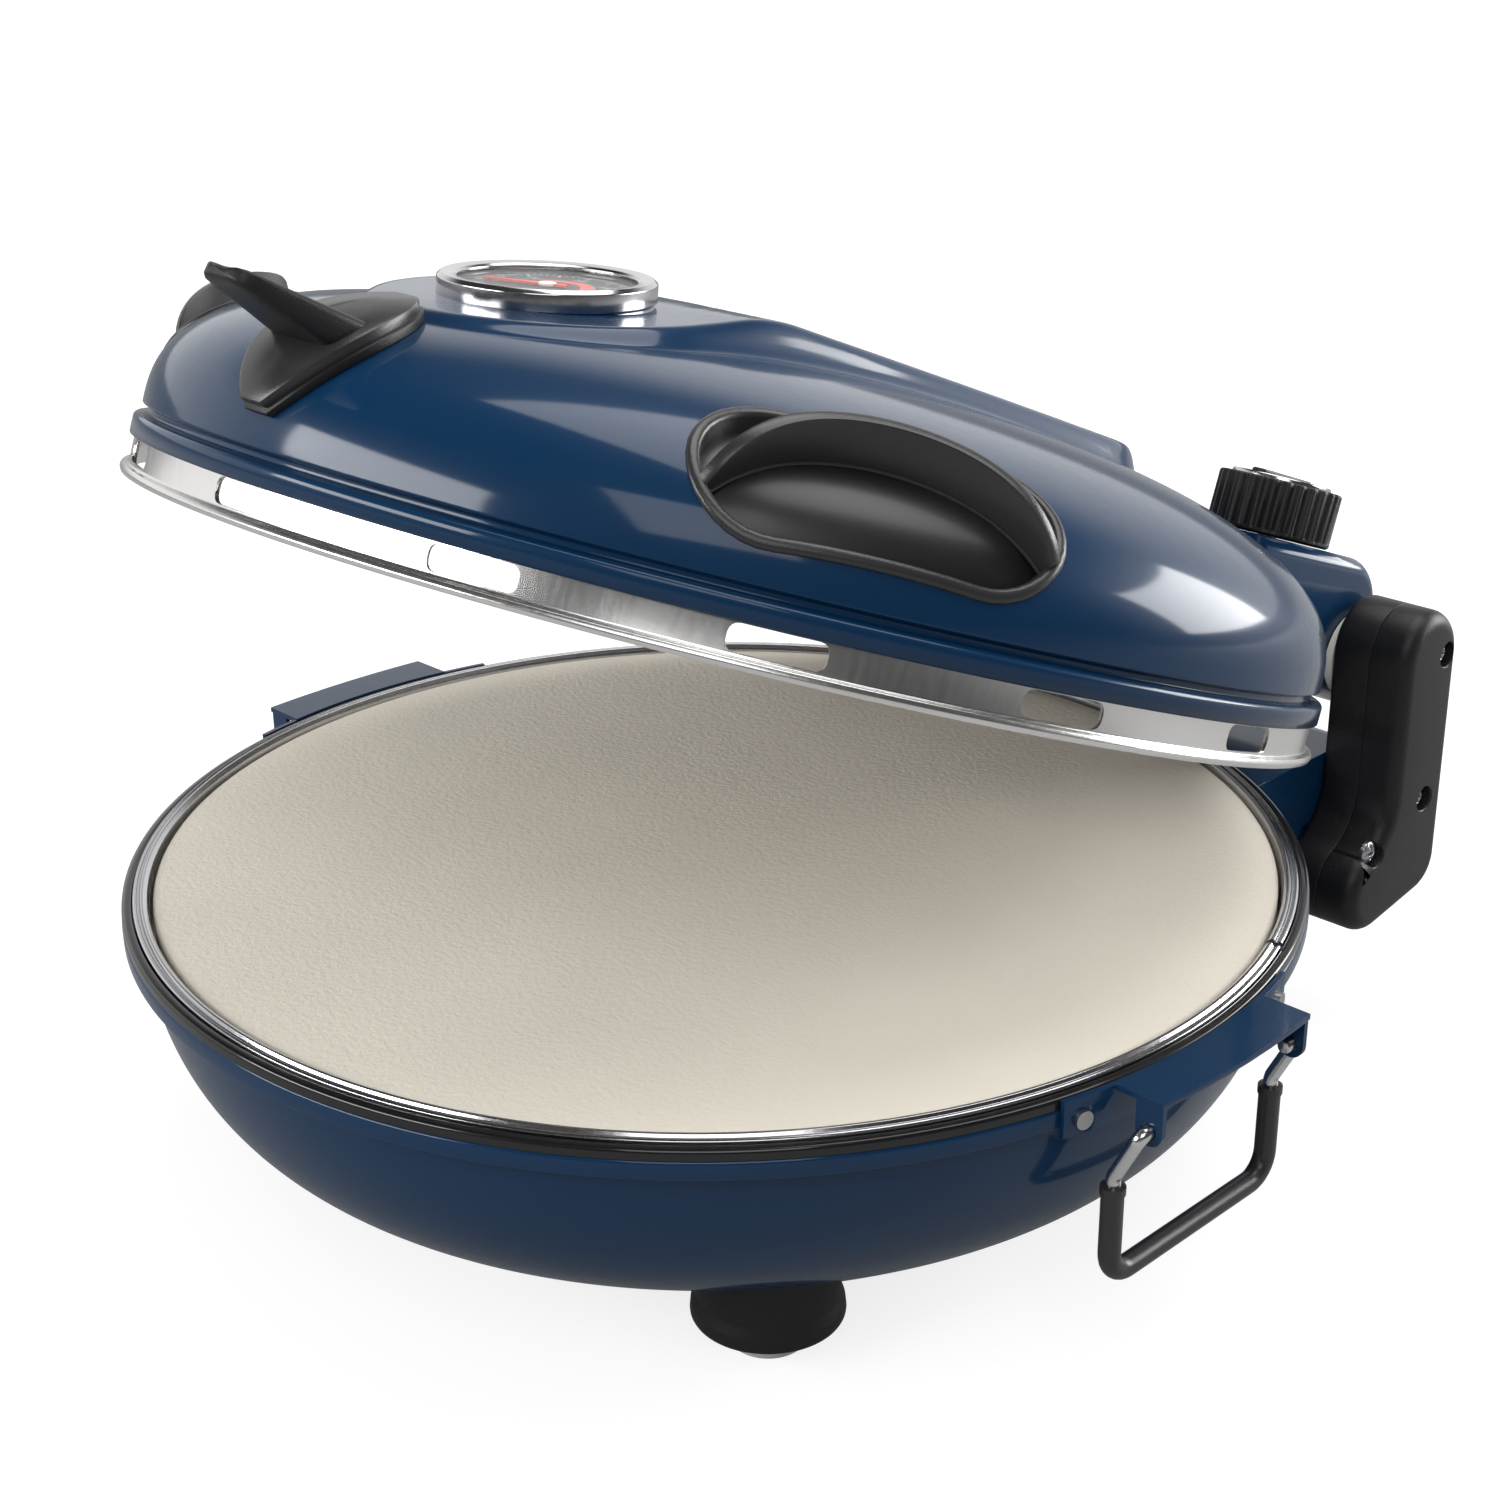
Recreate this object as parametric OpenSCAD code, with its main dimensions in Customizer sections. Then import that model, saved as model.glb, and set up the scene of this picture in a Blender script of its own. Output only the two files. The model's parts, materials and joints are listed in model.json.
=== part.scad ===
// Electric pizza maker: a round stone oven whose heated lid swings on two rear arms.
// Millimetres. Z is up with the table at Z = 0, the front is -Y, and X = 0 is the middle.

/* [Base] */
// Radius of the pizza stone
stone_r = 156.5; // [148:0.5:165]
// Thickness of the pizza stone
stone_t = 10; // [8:0.5:12]
// Depth of the stone's top below the rim's crest
stone_drop = 1.6; // [1:0.1:3]
// Height of the rim's crest above the table
rim_z = 88; // [84:1:96]
// Width of the rim outside the pan's neck
rim_w = 5; // [4.5:0.1:6]
// Depth of the rim's rolled edge
rim_roll = 5; // [4.5:0.5:6]
// Radius of the pan's flat bottom
pan_bottom_r = 122; // [118:1:126]
// Height of the pan's underside above the table
pan_bottom_z = 26; // [22:1:28]
// Thickness of the pan's and the lid's steel sheet
sheet_t = 1.2; // [0.8:0.1:1.6]
// Thickness of the bright reflector sheet
tray_t = 0.8; // [0.6:0.1:1]
// Height of the reflector tray's floor above the pan's floor
tray_rise = 20; // [16:1:22]
// Height of the bright trim ring and the black band beside it
ring_h = 3.2; // [2.8:0.1:4]
// Width of the black band round the rim
band_w = 2.8; // [2:0.1:3.2]
// Width of the butt gap in the trim ring, in degrees
ring_gap = 0.8; // [0.4:0.1:2]
// Direction of the butt gap, from +X towards the rear
ring_gap_at = 20; // [-30:1:30]

/* [Feet] */
// Radius of a foot at its top
foot_r = 18.5; // [15:0.5:20]
// How much wider a foot is at its bottom
foot_flare = 1.5; // [0:0.1:3]
// Distance of a foot's middle inside the edge of the pan's flat bottom
foot_inset = 8; // [6:1:26]
// Direction of the front feet, from the front
foot_angle = 52; // [40:1:55]
// Radius of the pad under a foot
pad_r = 11; // [8:0.5:13]
// Height of the pad that shows under a foot
pad_h = 8; // [6:0.5:9]

/* [Carrying handles] */
// Distance between the two ears of a bracket
ear_span = 56; // [48:1:64]
// Reach of a bracket beyond the rim
bracket_reach = 14; // [12:0.5:18]
// Depth of a bracket's top below the rim's crest
bracket_drop = 1; // [0.5:0.1:2]
// Thickness of a bracket's steel
bracket_t = 1.5; // [1.2:0.1:2]
// Radius of a rivet that holds a bracket
rivet_r = 1.2; // [1:0.1:1.4]
// Depth of an ear below the bracket's top
ear_drop = 14; // [12:0.5:16]
// Radius of a bail's steel wire
wire_r = 1.9; // [1.6:0.1:2.2]
// Radius of the sleeve on a bail
sleeve_r = 2.8; // [2.5:0.1:3.4]
// Height of a bail from its pivot to its lower bar
bail_drop = 42; // [36:1:45]
// Inward jog of a bail below its pivot
bail_jog = 7; // [4:0.5:7]
// Height of the jog
jog_drop = 14; // [10:0.5:16]

/* [Hinge] */
// Opening of the lid as it stands
lid_open = 20.5; // [0:0.5:60]
// Distance of the hinge axis behind the rim
pivot_back = 25; // [23:0.5:31]
// Height of the hinge axis above the rim's crest
pivot_up = 26; // [24:0.5:30]
// Distance of an arm's inner face from the middle
arm_in = 86; // [80:1:92]
// Width of an arm across the object
arm_w = 26; // [22:1:30]
// Wall of the arm's moulded shells
arm_wall = 2.5; // [2:0.1:3]
// Radius of a hinge pin
pin_r = 5; // [4:0.25:6]
// Running clearance between a pin and its bush
pin_gap = 0.06; // [0.02:0.01:0.1]
// Wall of a hinge bush
bush_wall = 3; // [2:0.5:3.5]
// Thickness of a friction washer
washer_t = 2.2; // [1.6:0.1:3]
// Radius of a friction washer
washer_r = 13; // [11:0.5:14]
// Wall of the hinge housings
housing_wall = 2.5; // [2:0.1:3]

/* [Lid] */
// How far the lid's flange stays inside the base's rim
lid_inset = 2; // [0:0.5:3]
// Height of the bright skirt below the painted lid
skirt_h = 10; // [8.5:0.5:12]
// Height of the painted band above the skirt
band_h = 5; // [4:0.5:7]
// Depth of the pressed groove above the band
groove_d = 3.4; // [2:0.1:4]
// Height of the groove
groove_h = 2.2; // [1.5:0.1:3]
// Height of the dome above the groove
dome_h = 50; // [46:1:58]
// Squareness of the dome's section
dome_square = 2.5; // [2.2:0.05:2.8]
// Gap between the painted dome and the reflector in it
lid_cavity = 14; // [11:0.5:16]
// Gap between the closed lid and the base's rim
lid_gap = 0.5; // [0.3:0.1:1]
// Length of a slot in the skirt
slot_l = 22; // [14:1:26]
// Height of a slot in the skirt
slot_h = 6.4; // [4:0.2:6.4]
// Number of slots round the skirt
slots = 15; // [9:1:18]

/* [Platform] */
// Half of the width of the raised platform on the dome
platform_r = 46; // [42:1:50]
// Distance of the platform's front round inside the dome's foot
platform_front_in = 80.6; // [76:0.1:86]
// Distance of the platform's rear round inside the dome's foot
platform_rear_in = 62.6; // [58:0.1:80]
// Height of the platform's top above the flange, in the middle
platform_z = 74; // [72:0.5:80]
// Fall of the platform's top towards the rear, in degrees
platform_fall = 2; // [0:0.5:3]

/* [Thermometer] */
// Radius of the thermometer's bezel
bezel_r = 27; // [25:0.5:33]
// Height of the bezel above its seat
bezel_h = 6.5; // [5:0.5:9]
// Width of the bezel's flat rim
bezel_w = 5; // [4:0.5:7]
// Forward tilt of the thermometer
gauge_tilt = 15; // [10:0.5:17]
// Distance of the thermometer's middle inside the dome's foot
gauge_in = 74.6; // [72:0.1:82]
// Drop of the thermometer's seat below the platform's top
gauge_drop = 7.5; // [4:0.5:9]
// Depth of the thermometer's case below its seat
case_h = 9; // [7:0.5:10]
// Length of the probe below the case
probe_l = 16; // [10:1:18]

/* [Windows] */
// Direction of a window, from the front
window_angle = 54; // [50:1:72]
// Length of a window's frame
window_l = 86; // [78:1:96]
// Height of a window's frame along the dome
window_h = 41; // [36:1:44]
// Tilt of a window's face above the horizontal
window_tilt = 38; // [32:1:44]
// Wall of a window's frame
frame_wall = 3; // [2.5:0.1:4]
// Height of the frame's edge above the dome
frame_proud = 0.8; // [0.4:0.1:1.5]
// Depth of the glass below the dome's surface
glass_depth = 4; // [3:0.5:6]
// Thickness of the window glass
glass_t = 3; // [2.5:0.1:4]
// Reach of the hood beyond the dome's surface
hood_reach = 9; // [6:0.5:11]
// Thickness of the hood
hood_t = 3; // [2.5:0.1:4]

/* [Front handle] */
// Length of the handle's plate along the dome
plate_l = 50; // [44:1:54]
// Width of the handle's plate
plate_w = 34; // [28:1:40]
// Thickness of the handle's plate
plate_t = 5; // [4:0.5:6]
// Reach of the grip beyond the plate
grip_l = 34; // [28:1:36]
// Width of the grip at its root
grip_w = 26; // [20:1:28]
// Upward angle of the grip
grip_rise = 14; // [8:1:18]

/* [Control] */
// Radius of the thermostat knob
knob_r = 19; // [16:0.5:20]
// Height of the knob
knob_h = 17; // [14:0.5:20]
// Number of flutes round the knob
flutes = 28; // [16:1:32]
// Distance of the knob to the right of the middle
knob_x = 57; // [36:1:60]
// Distance of the knob ahead of the hinge axis
knob_ahead = 20; // [19:0.5:25]
// Height of the hinge housing's top above the flange
housing_top = 54; // [50:0.5:56]
// Radius of the control shaft
shaft_r = 3; // [2.5:0.25:3.5]

/* [Heating elements] */
// Radius of the elements' tube
tube_r = 3.25; // [2.75:0.25:3.5]
// Radius of the elements' ring
element_r = 95; // [85:1:100]
// Gap between the lower element's axis and the stone
lower_drop = 14; // [10:1:16]
// Height of the upper element's axis above the flange
upper_z = 36; // [34:1:36]
// Distance between an element's two leads
lead_span = 28; // [20:1:34]
// Depth of a terminal block
block_d = 13; // [10:1:14]

/* [Hidden] */
$fn = 96;

// Colours
navy = [0.05, 0.15, 0.29];
black = [0.07, 0.07, 0.075];
steel = [0.75, 0.75, 0.76];
cream = [0.87, 0.84, 0.78];
pale = [0.8, 0.8, 0.78];
tint = [0.1, 0.1, 0.11, 0.6];

// Clearances
eps = 0.01;
part_gap = 0.3;
seat_gap = 0.2;
stone_gap = 1;
tray_gap = 0.5;
hole_gap = 0.4;
far = 400;

// Base levels and radii
tray_r = stone_r + stone_gap;
neck_r = tray_r + tray_t + tray_gap + sheet_t;
rim_r = neck_r + rim_w;
flange_z = rim_z - ring_h - tray_t;
neck_z = flange_z - rim_roll;
stone_top = rim_z - stone_drop;
ledge_z = stone_top - stone_t;
ledge_w = 11;
pan_floor = pan_bottom_z + sheet_t;
tray_floor = pan_floor + tray_rise;
lower_z = ledge_z - lower_drop;
band_in = rim_r - band_w - seat_gap;
foot_at = pan_bottom_r - foot_inset;
steps = 12;

// Hinge
pivot_y = rim_r + pivot_back;
pivot_z = rim_z + pivot_up;
pivot_h = pivot_up - lid_gap;
bush_r = pin_r + bush_wall;
arm_top_r = 15;
arm_rear = pivot_y + 17;
frame_y = (rim_r - arm_rear) / 2;
housing_x = arm_in - washer_t - part_gap;
pin_end = housing_x - 16;
cover_x = pin_end - 4;
knob_y = pivot_y - knob_ahead;
thermostat_z = housing_top - housing_wall;
base_box_in = neck_r - 30;
base_box_top = rim_z - 3;
base_box_low = rim_z - 36;
base_box_rear = pivot_y + 10;
base_box_round = 8;
gland_z = rim_z - 20;
gland_r = 7;
gland_bore = 4;

// Terminal blocks, on the ends of the elements' leads
block_w = lead_span + 14;
base_lead_y = pivot_y - 24;
lid_lead_y = pivot_y - 22;

// Arms, with their screws in Y and Z
arm_mid = arm_in + arm_w / 2;
arm_out = arm_in + arm_w;
screw_r = 2;
arm_screw_at = [[pivot_y + 10, pivot_z + 4], [pivot_y + 5, rim_z - 16], [pivot_y - 20, rim_z - 27]];

// Lid levels and radii
lid_rim_r = rim_r - lid_inset;
skirt_r = lid_rim_r - 2.2;
lid_band_r = skirt_r + seat_gap + sheet_t;
band_top = skirt_h + band_h;
dome_z = band_top + groove_h + 1.4;
dome_r = lid_band_r - 1.6;
liner_r = dome_r - 7;
liner_z = skirt_h + 0.5;
liner_h = dome_z + dome_h - lid_cavity - liner_z;

// Platform, thermometer, windows and handle on the lid
platform_front = dome_r - platform_front_in;
platform_rear = dome_r - platform_rear_in;
gauge_at = dome_r - gauge_in;
gauge_z = platform_z - gauge_drop;
case_r = bezel_r - 3;
dial_z = bezel_h - 3.5;
dial_t = 0.8;
pane_t = 1.2;
window_in_r = dome_r * 0.925;
handle_r = dome_r * 0.91;
handle_slope = atan2(dome_at(handle_r - 12) - dome_at(handle_r + 10), 22);
grip_root = [-handle_r + 8, dome_at(handle_r) - 2];
handle_screw_r = 1.6;

// Bracket and bail
bracket_top = rim_z - bracket_drop;
bracket_r = rim_r + bracket_reach;
bracket_end = ear_span / 2 + bracket_t + 0.4;
tab_angle = asin(ear_span / 2 / bracket_r) + 6.5;
tab_hole_angle = tab_angle - 1.8;
tab_low = neck_z - 2;
tab_z = flange_z - rim_roll / 2 - 0.5;
ear_w = 3.8;
ear_x = bracket_r - ear_w - 1.7;
ear_z = bracket_top - ear_drop + 5;
knuckle_r = wire_r + 0.15;
leg_x = ear_x - bail_jog;
leg_y = bracket_end + knuckle_r + part_gap;

// A circular arc as points
function arc(c, r, from, to, n = 10) =
    [for (i = [0:n]) c + r * [cos(from + (to - from) * i / n), sin(from + (to - from) * i / n)]];

function reverse(points) = [for (i = [len(points) - 1:-1:0]) points[i]];

// Quarter ellipse from a floor point out and up to a wall point
function bowl(r0, z0, r1, z1, n = steps) =
    [for (i = [0:n]) [r0 + (r1 - r0) * sin(90 * i / n), z1 - (z1 - z0) * cos(90 * i / n)]];

// Squared dome from its foot up to its crown
function dome(r, z, h, n = steps) =
    [for (i = [0:n]) [r * pow(max(cos(90 * i / n), 0), 2 / dome_square),
                      z + h * pow(sin(90 * i / n), 2 / dome_square)]];

// Height of the painted dome at a radius
function dome_at(r) = dome_z + dome_h * pow(1 - pow(r / dome_r, dome_square), 1 / dome_square);

// Side outline of an arm, drawn in by d
function arm_outline(d) =
    let (hook = [pivot_y - 19, rim_z - 40], hook_r = 13, neck_c = [pivot_y - 32, rim_z - 10.8], neck_cr = 19)
    concat(
        arc([pivot_y + 2, pivot_z + 4], arm_top_r - d, 0, 180),
        arc(neck_c, neck_cr + d, 0, -66),
        arc(hook, hook_r - d, 114, 279),
        arc([pivot_y + 5, rim_z - 37], 12 - d, 279, 360));

// Side outline of the lid's hinge housing, drawn in by d
function housing_outline(d) = concat(
    [[dome_r - 34, skirt_h + 2 + d], [pivot_y - 12, skirt_h + 2 + d]],
    arc([pivot_y, pivot_h], 17 - d, -70, 10),
    arc([pivot_y - 6, housing_top - 18], 18 - d, 10, 90),
    [[dome_r - 34, housing_top - d]]);

// Places on the object
module on_base() { translate([0, frame_y, 0]) children(); }
module on_lid() {
    translate([0, frame_y + pivot_y, pivot_z])
        rotate([-lid_open, 0, 0])
            translate([0, -pivot_y, -pivot_h])
                children();
}
module both_sides() {
    children();
    mirror([1, 0, 0]) children();
}
module on_left() { mirror([1, 0, 0]) children(); }
// Turns an outline drawn in Y and Z into a solid along X
module along_x(from, to) {
    translate([from, 0, 0]) rotate([90, 0, 90]) linear_extrude(to - from) children();
}
module spin(points) { rotate_extrude() polygon(points); }

// Base
module pan_solid(grow) {
    spin(concat([[0, pan_bottom_z - grow]],
                bowl(pan_bottom_r, pan_bottom_z - grow, neck_r + grow, neck_z),
                [[neck_r + grow, flange_z], [0, flange_z]]));
}
module foot_place(side, end) {
    a = end > 0 ? 180 - foot_angle : foot_angle;
    translate([side * foot_at * sin(a), -foot_at * cos(a), 0]) children();
}
module four_feet() {
    for (side = [-1, 1], end = [-1, 1]) foot_place(side, end) children();
}
module base_pan() {
    color(navy) on_base() difference() {
        spin(concat(
            [[0, pan_bottom_z]],
            bowl(pan_bottom_r, pan_bottom_z, neck_r, neck_z),
            [[neck_r, flange_z - sheet_t], [rim_r - sheet_t, flange_z - sheet_t],
             [rim_r - sheet_t, flange_z - rim_roll], [rim_r, flange_z - rim_roll], [rim_r, flange_z],
             [neck_r - sheet_t, flange_z]],
            reverse(bowl(pan_bottom_r, pan_floor, neck_r - sheet_t, neck_z)),
            [[0, pan_floor]]));
        four_feet() cylinder(r = screw_r + hole_gap, h = rim_z);
        lead_holes(lower_z);
        both_sides() tab_holes(rivet_r + 0.2);
    }
}
module base_trim_ring() {
    z = flange_z + tray_t;
    color(steel) on_base() rotate([0, 0, ring_gap_at + ring_gap / 2])
        rotate_extrude(angle = 360 - ring_gap)
            polygon([[tray_r, z], [tray_r + 0.5, rim_z - 1], [tray_r + 1.4, rim_z], [tray_r + 2.2, rim_z],
                     [tray_r + 2.7, rim_z - 0.9], [tray_r + 3.1, rim_z - 0.9], [tray_r + 3.6, rim_z - 0.3],
                     [band_in - seat_gap, rim_z - 1], [band_in - seat_gap, z]]);
}
module base_rim_band() {
    top = rim_z - 1.2;
    color(black) on_base()
        spin([[band_in, flange_z], [rim_r - 0.2, flange_z], [rim_r - 0.2, top - 0.6],
              [rim_r - 0.8, top], [band_in + 0.6, top], [band_in, top - 0.6]]);
}
module base_reflector() {
    floor_r = pan_bottom_r - 4;
    in_r = tray_r - ledge_w;
    color(steel) on_base() difference() {
        spin([[0, tray_floor], [floor_r, tray_floor], [in_r, ledge_z - tray_t],
              [tray_r + tray_t, ledge_z - tray_t], [tray_r + tray_t, flange_z],
              [band_in - seat_gap, flange_z], [band_in - seat_gap, flange_z + tray_t],
              [tray_r, flange_z + tray_t], [tray_r, ledge_z], [in_r - tray_t, ledge_z],
              [floor_r - tray_t, tray_floor + tray_t], [0, tray_floor + tray_t]]);
        lead_holes(lower_z);
    }
}
module pizza_stone() {
    edge = 1;
    color(cream) on_base()
        spin([[0, ledge_z], [stone_r - edge, ledge_z], [stone_r, ledge_z + edge],
              [stone_r, stone_top - edge], [stone_r - edge, stone_top], [0, stone_top]]);
}
// One turn of heating tube, with two leads out at the rear
module element(z, lead_end) {
    turn = asin(lead_span / 2 / element_r);
    end_y = element_r * cos(turn);
    translate([0, 0, z]) {
        rotate([0, 0, 90 + turn]) rotate_extrude(angle = 360 - 2 * turn)
            translate([element_r, 0]) circle(r = tube_r);
        for (side = [-1, 1]) translate([side * lead_span / 2, end_y, 0]) {
            sphere(r = tube_r + 0.15);
            rotate([-90, 0, 0]) cylinder(r = tube_r, h = lead_end - end_y);
        }
    }
}
module lead_holes(z) {
    for (x = [-1, 1]) translate([x * lead_span / 2, element_r, z])
        rotate([-90, 0, 0]) cylinder(r = tube_r + hole_gap, h = far);
}
module lower_element() { color(steel * 0.7) on_base() element(lower_z, base_lead_y); }
module lower_element_clips() {
    clip_w = 9;
    post_z = tray_floor + tray_t;
    color(steel) on_base() for (a = [30, 150, 270]) rotate([0, 0, a]) {
        translate([element_r - clip_w, -clip_w / 2, post_z]) cube([2 * clip_w, clip_w, 1]);
        translate([element_r - 1, -clip_w / 2, post_z]) cube([2, clip_w, lower_z - tube_r - post_z - 0.5]);
        translate([element_r - 4, -clip_w / 2, lower_z - tube_r - 1.2]) cube([8, clip_w, 1.2 - eps]);
    }
}
// A foot, its top fitted to the pan's underside
module foot(side, end) {
    color(black) on_base() difference() {
        foot_place(side, end) difference() {
            union() {
                translate([0, 0, pad_h]) cylinder(r1 = foot_r + foot_flare, r2 = foot_r, h = 5);
                translate([0, 0, pad_h + 5]) cylinder(r = foot_r, h = pan_bottom_z - pad_h);
            }
            translate([0, 0, pad_h]) cylinder(r = pad_r + seat_gap, h = 2);
            translate([0, 0, pad_h + 8]) cylinder(r = screw_r, h = pan_bottom_z);
        }
        pan_solid(seat_gap / 2);
    }
}
module front_right_foot() { foot(1, -1); }
module front_left_foot() { foot(-1, -1); }
module rear_right_foot() { foot(1, 1); }
module rear_left_foot() { foot(-1, 1); }
module foot_pads() {
    color(pale) on_base() four_feet() {
        cylinder(r1 = pad_r - 0.8, r2 = pad_r, h = 1);
        translate([0, 0, 1]) cylinder(r = pad_r, h = pad_h + 1);
    }
}
module foot_screws() {
    color(steel) on_base() four_feet() {
        translate([0, 0, pad_h + 8]) cylinder(r = screw_r, h = pan_floor - pad_h - 8);
        translate([0, 0, pan_floor]) cylinder(r = 4, h = 2.4);
    }
}

// Carrying handles
module tab_holes(r) {
    for (s = [-1, 1]) rotate([0, 0, s * tab_hole_angle]) translate([rim_r - sheet_t - 1, 0, tab_z])
        rotate([0, 90, 0]) cylinder(r = r, h = sheet_t + bracket_t + 3);
}
module handle_bracket() {
    wall_r = rim_r + seat_gap;
    edge_r = 300;
    difference() {
        union() {
            translate([0, 0, bracket_top - bracket_t]) linear_extrude(bracket_t) difference() {
                intersection() {
                    translate([bracket_r - edge_r, 0]) circle(r = edge_r);
                    translate([0, -bracket_end]) square([far, 2 * bracket_end]);
                }
                circle(r = wall_r + 0.3);
            }
            rotate([0, 0, -tab_angle]) rotate_extrude(angle = 2 * tab_angle)
                translate([wall_r, tab_low]) square([bracket_t, bracket_top - 0.3 - tab_low]);
            for (s = [-1, 1]) translate([ear_x, s * (ear_span + bracket_t) / 2 + bracket_t / 2, ear_z]) {
                rotate([90, 0, 0]) cylinder(r = ear_w, h = bracket_t);
                translate([-ear_w, -bracket_t, 0])
                    cube([2 * ear_w, bracket_t, bracket_top - ear_z - bracket_t / 2]);
            }
        }
        translate([ear_x, ear_span, ear_z]) rotate([90, 0, 0]) cylinder(r = wire_r + 0.15, h = 2 * ear_span);
        tab_holes(rivet_r + 0.2);
    }
}
module right_handle_bracket() { color(navy) on_base() handle_bracket(); }
module left_handle_bracket() { color(navy) on_base() on_left() handle_bracket(); }
module bracket_screws() {
    head_at = rim_r + seat_gap + bracket_t;
    tail_at = rim_r - sheet_t - 0.8;
    color(steel) on_base() both_sides() for (s = [-1, 1])
        rotate([0, 0, s * tab_hole_angle]) translate([0, 0, tab_z]) rotate([0, 90, 0]) {
            translate([0, 0, tail_at]) cylinder(r = rivet_r, h = head_at - tail_at);
            translate([0, 0, head_at]) cylinder(r = 2 * rivet_r, h = rivet_r);
        }
}
// The bail's lower loop: two legs, two bends and the lower bar, of radius r
module bail_loop(r, top_z) {
    bend = 7;
    low = ear_z - bail_drop;
    for (s = [-1, 1]) {
        translate([leg_x, s * leg_y, low + bend]) cylinder(r = r, h = top_z - low - bend);
        translate([leg_x, s * (leg_y - bend), low + bend]) rotate([0, 0, s * 90]) rotate([90, 0, 0])
            mirror([0, 1, 0]) rotate_extrude(angle = 90) translate([bend, 0]) circle(r = r);
    }
    translate([leg_x, -leg_y + bend, low]) rotate([-90, 0, 0]) cylinder(r = r, h = 2 * (leg_y - bend));
}
module bail_wire() {
    slant = atan2(bail_jog, jog_drop);
    bail_loop(wire_r, ear_z - jog_drop);
    for (s = [-1, 1]) {
        translate([leg_x, s * leg_y, ear_z - jog_drop]) {
            sphere(r = knuckle_r);
            rotate([0, slant, 0]) cylinder(r = wire_r, h = norm([bail_jog, jog_drop]));
        }
        translate([ear_x, s * leg_y, ear_z]) {
            sphere(r = knuckle_r);
            rotate([s * 90, 0, 0]) cylinder(r = wire_r, h = leg_y - ear_span / 2 + 3);
        }
    }
}
module bail_sleeve() {
    top = ear_z - jog_drop - 2;
    difference() {
        bail_loop(sleeve_r, top);
        bail_loop(wire_r + 0.05, top + 1);
    }
}
module right_bail_wire() { color(steel) on_base() bail_wire(); }
module left_bail_wire() { color(steel) on_base() on_left() bail_wire(); }
module right_bail_sleeve() { color(black) on_base() bail_sleeve(); }
module left_bail_sleeve() { color(black) on_base() on_left() bail_sleeve(); }

// Rear hinge
module base_box_outline(d) {
    round_y = base_box_rear - base_box_round;
    polygon(concat([[base_box_in, base_box_low + d], [round_y, base_box_low + d]],
                   arc([round_y, base_box_low + base_box_round], base_box_round - d, -90, 0, 6),
                   arc([round_y, base_box_top - base_box_round], base_box_round - d, 0, 90, 6),
                   [[base_box_in, base_box_top - d]]));
}
module hinge_base() {
    color(navy) on_base() difference() {
        along_x(-arm_in, arm_in) base_box_outline(0);
        along_x(-arm_in + housing_wall, arm_in - housing_wall) base_box_outline(housing_wall);
        pan_solid(seat_gap);
        spin([[0, neck_z - 0.3], [rim_r + seat_gap, neck_z - 0.3], [rim_r + seat_gap, far], [0, far]]);
        translate([0, base_box_rear - housing_wall - 1, gland_z]) rotate([-90, 0, 0])
            cylinder(r = gland_r, h = far);
        for (p = arm_screw_at) if (p[1] < base_box_top)
            along_x(-arm_in - 1, arm_in + 1) translate(p) circle(r = screw_r);
    }
}
module arm_holes(x0, x1, r) {
    for (p = arm_screw_at) along_x(x0, x1) translate(p) circle(r = r);
}
module arm_shell() {
    difference() {
        union() {
            difference() {
                along_x(arm_in, arm_mid) polygon(arm_outline(0));
                along_x(arm_in + arm_wall, arm_mid + 1) polygon(arm_outline(arm_wall));
            }
            intersection() {
                union() {
                    translate([arm_in, pivot_y, pivot_z]) rotate([0, 90, 0]) cylinder(r = 9, h = 11);
                    arm_holes(arm_in, arm_mid, 4);
                }
                along_x(arm_in, arm_mid) polygon(arm_outline(0));
            }
        }
        translate([arm_in - 1, pivot_y, pivot_z]) rotate([0, 90, 0]) cylinder(r = pin_r, h = 11);
        arm_holes(arm_in - 1, arm_mid + 1, screw_r);
    }
}
module arm_cover() {
    difference() {
        union() {
            difference() {
                along_x(arm_mid, arm_out) polygon(arm_outline(0));
                along_x(arm_mid - 1, arm_out - arm_wall) polygon(arm_outline(arm_wall));
            }
            intersection() {
                arm_holes(arm_mid, arm_out, 5.2);
                along_x(arm_mid, arm_out) polygon(arm_outline(0));
            }
        }
        arm_holes(arm_mid - 1, arm_out + 1, screw_r);
        arm_holes(arm_out - 4, arm_out + 1, 3.8);
    }
}
module right_arm_shell() { color(black) on_base() arm_shell(); }
module left_arm_shell() { color(black) on_base() on_left() arm_shell(); }
module right_arm_cover() { color(black) on_base() arm_cover(); }
module left_arm_cover() { color(black) on_base() on_left() arm_cover(); }
module arm_screws() {
    color(steel * 0.5) on_base() both_sides() for (p = arm_screw_at) {
        along_x(arm_in + 1, arm_out - 4) translate(p) circle(r = screw_r);
        along_x(arm_out - 4, arm_out - 1.6) translate(p) circle(r = 3.6);
    }
}
module hinge_pin() {
    translate([pin_end, pivot_y, pivot_z]) rotate([0, 90, 0]) cylinder(r = pin_r, h = arm_in + 10 - pin_end);
}
module right_hinge_pin() { color(steel) on_base() hinge_pin(); }
module left_hinge_pin() { color(steel) on_base() on_left() hinge_pin(); }
module washer() {
    translate([arm_in - washer_t, pivot_y, pivot_z]) rotate([0, 90, 0]) difference() {
        cylinder(r = washer_r, h = washer_t);
        translate([0, 0, -1]) cylinder(r = pin_r, h = washer_t + 2);
    }
}
module right_washer() { color(pale) on_base() washer(); }
module left_washer() { color(pale) on_base() on_left() washer(); }
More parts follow.
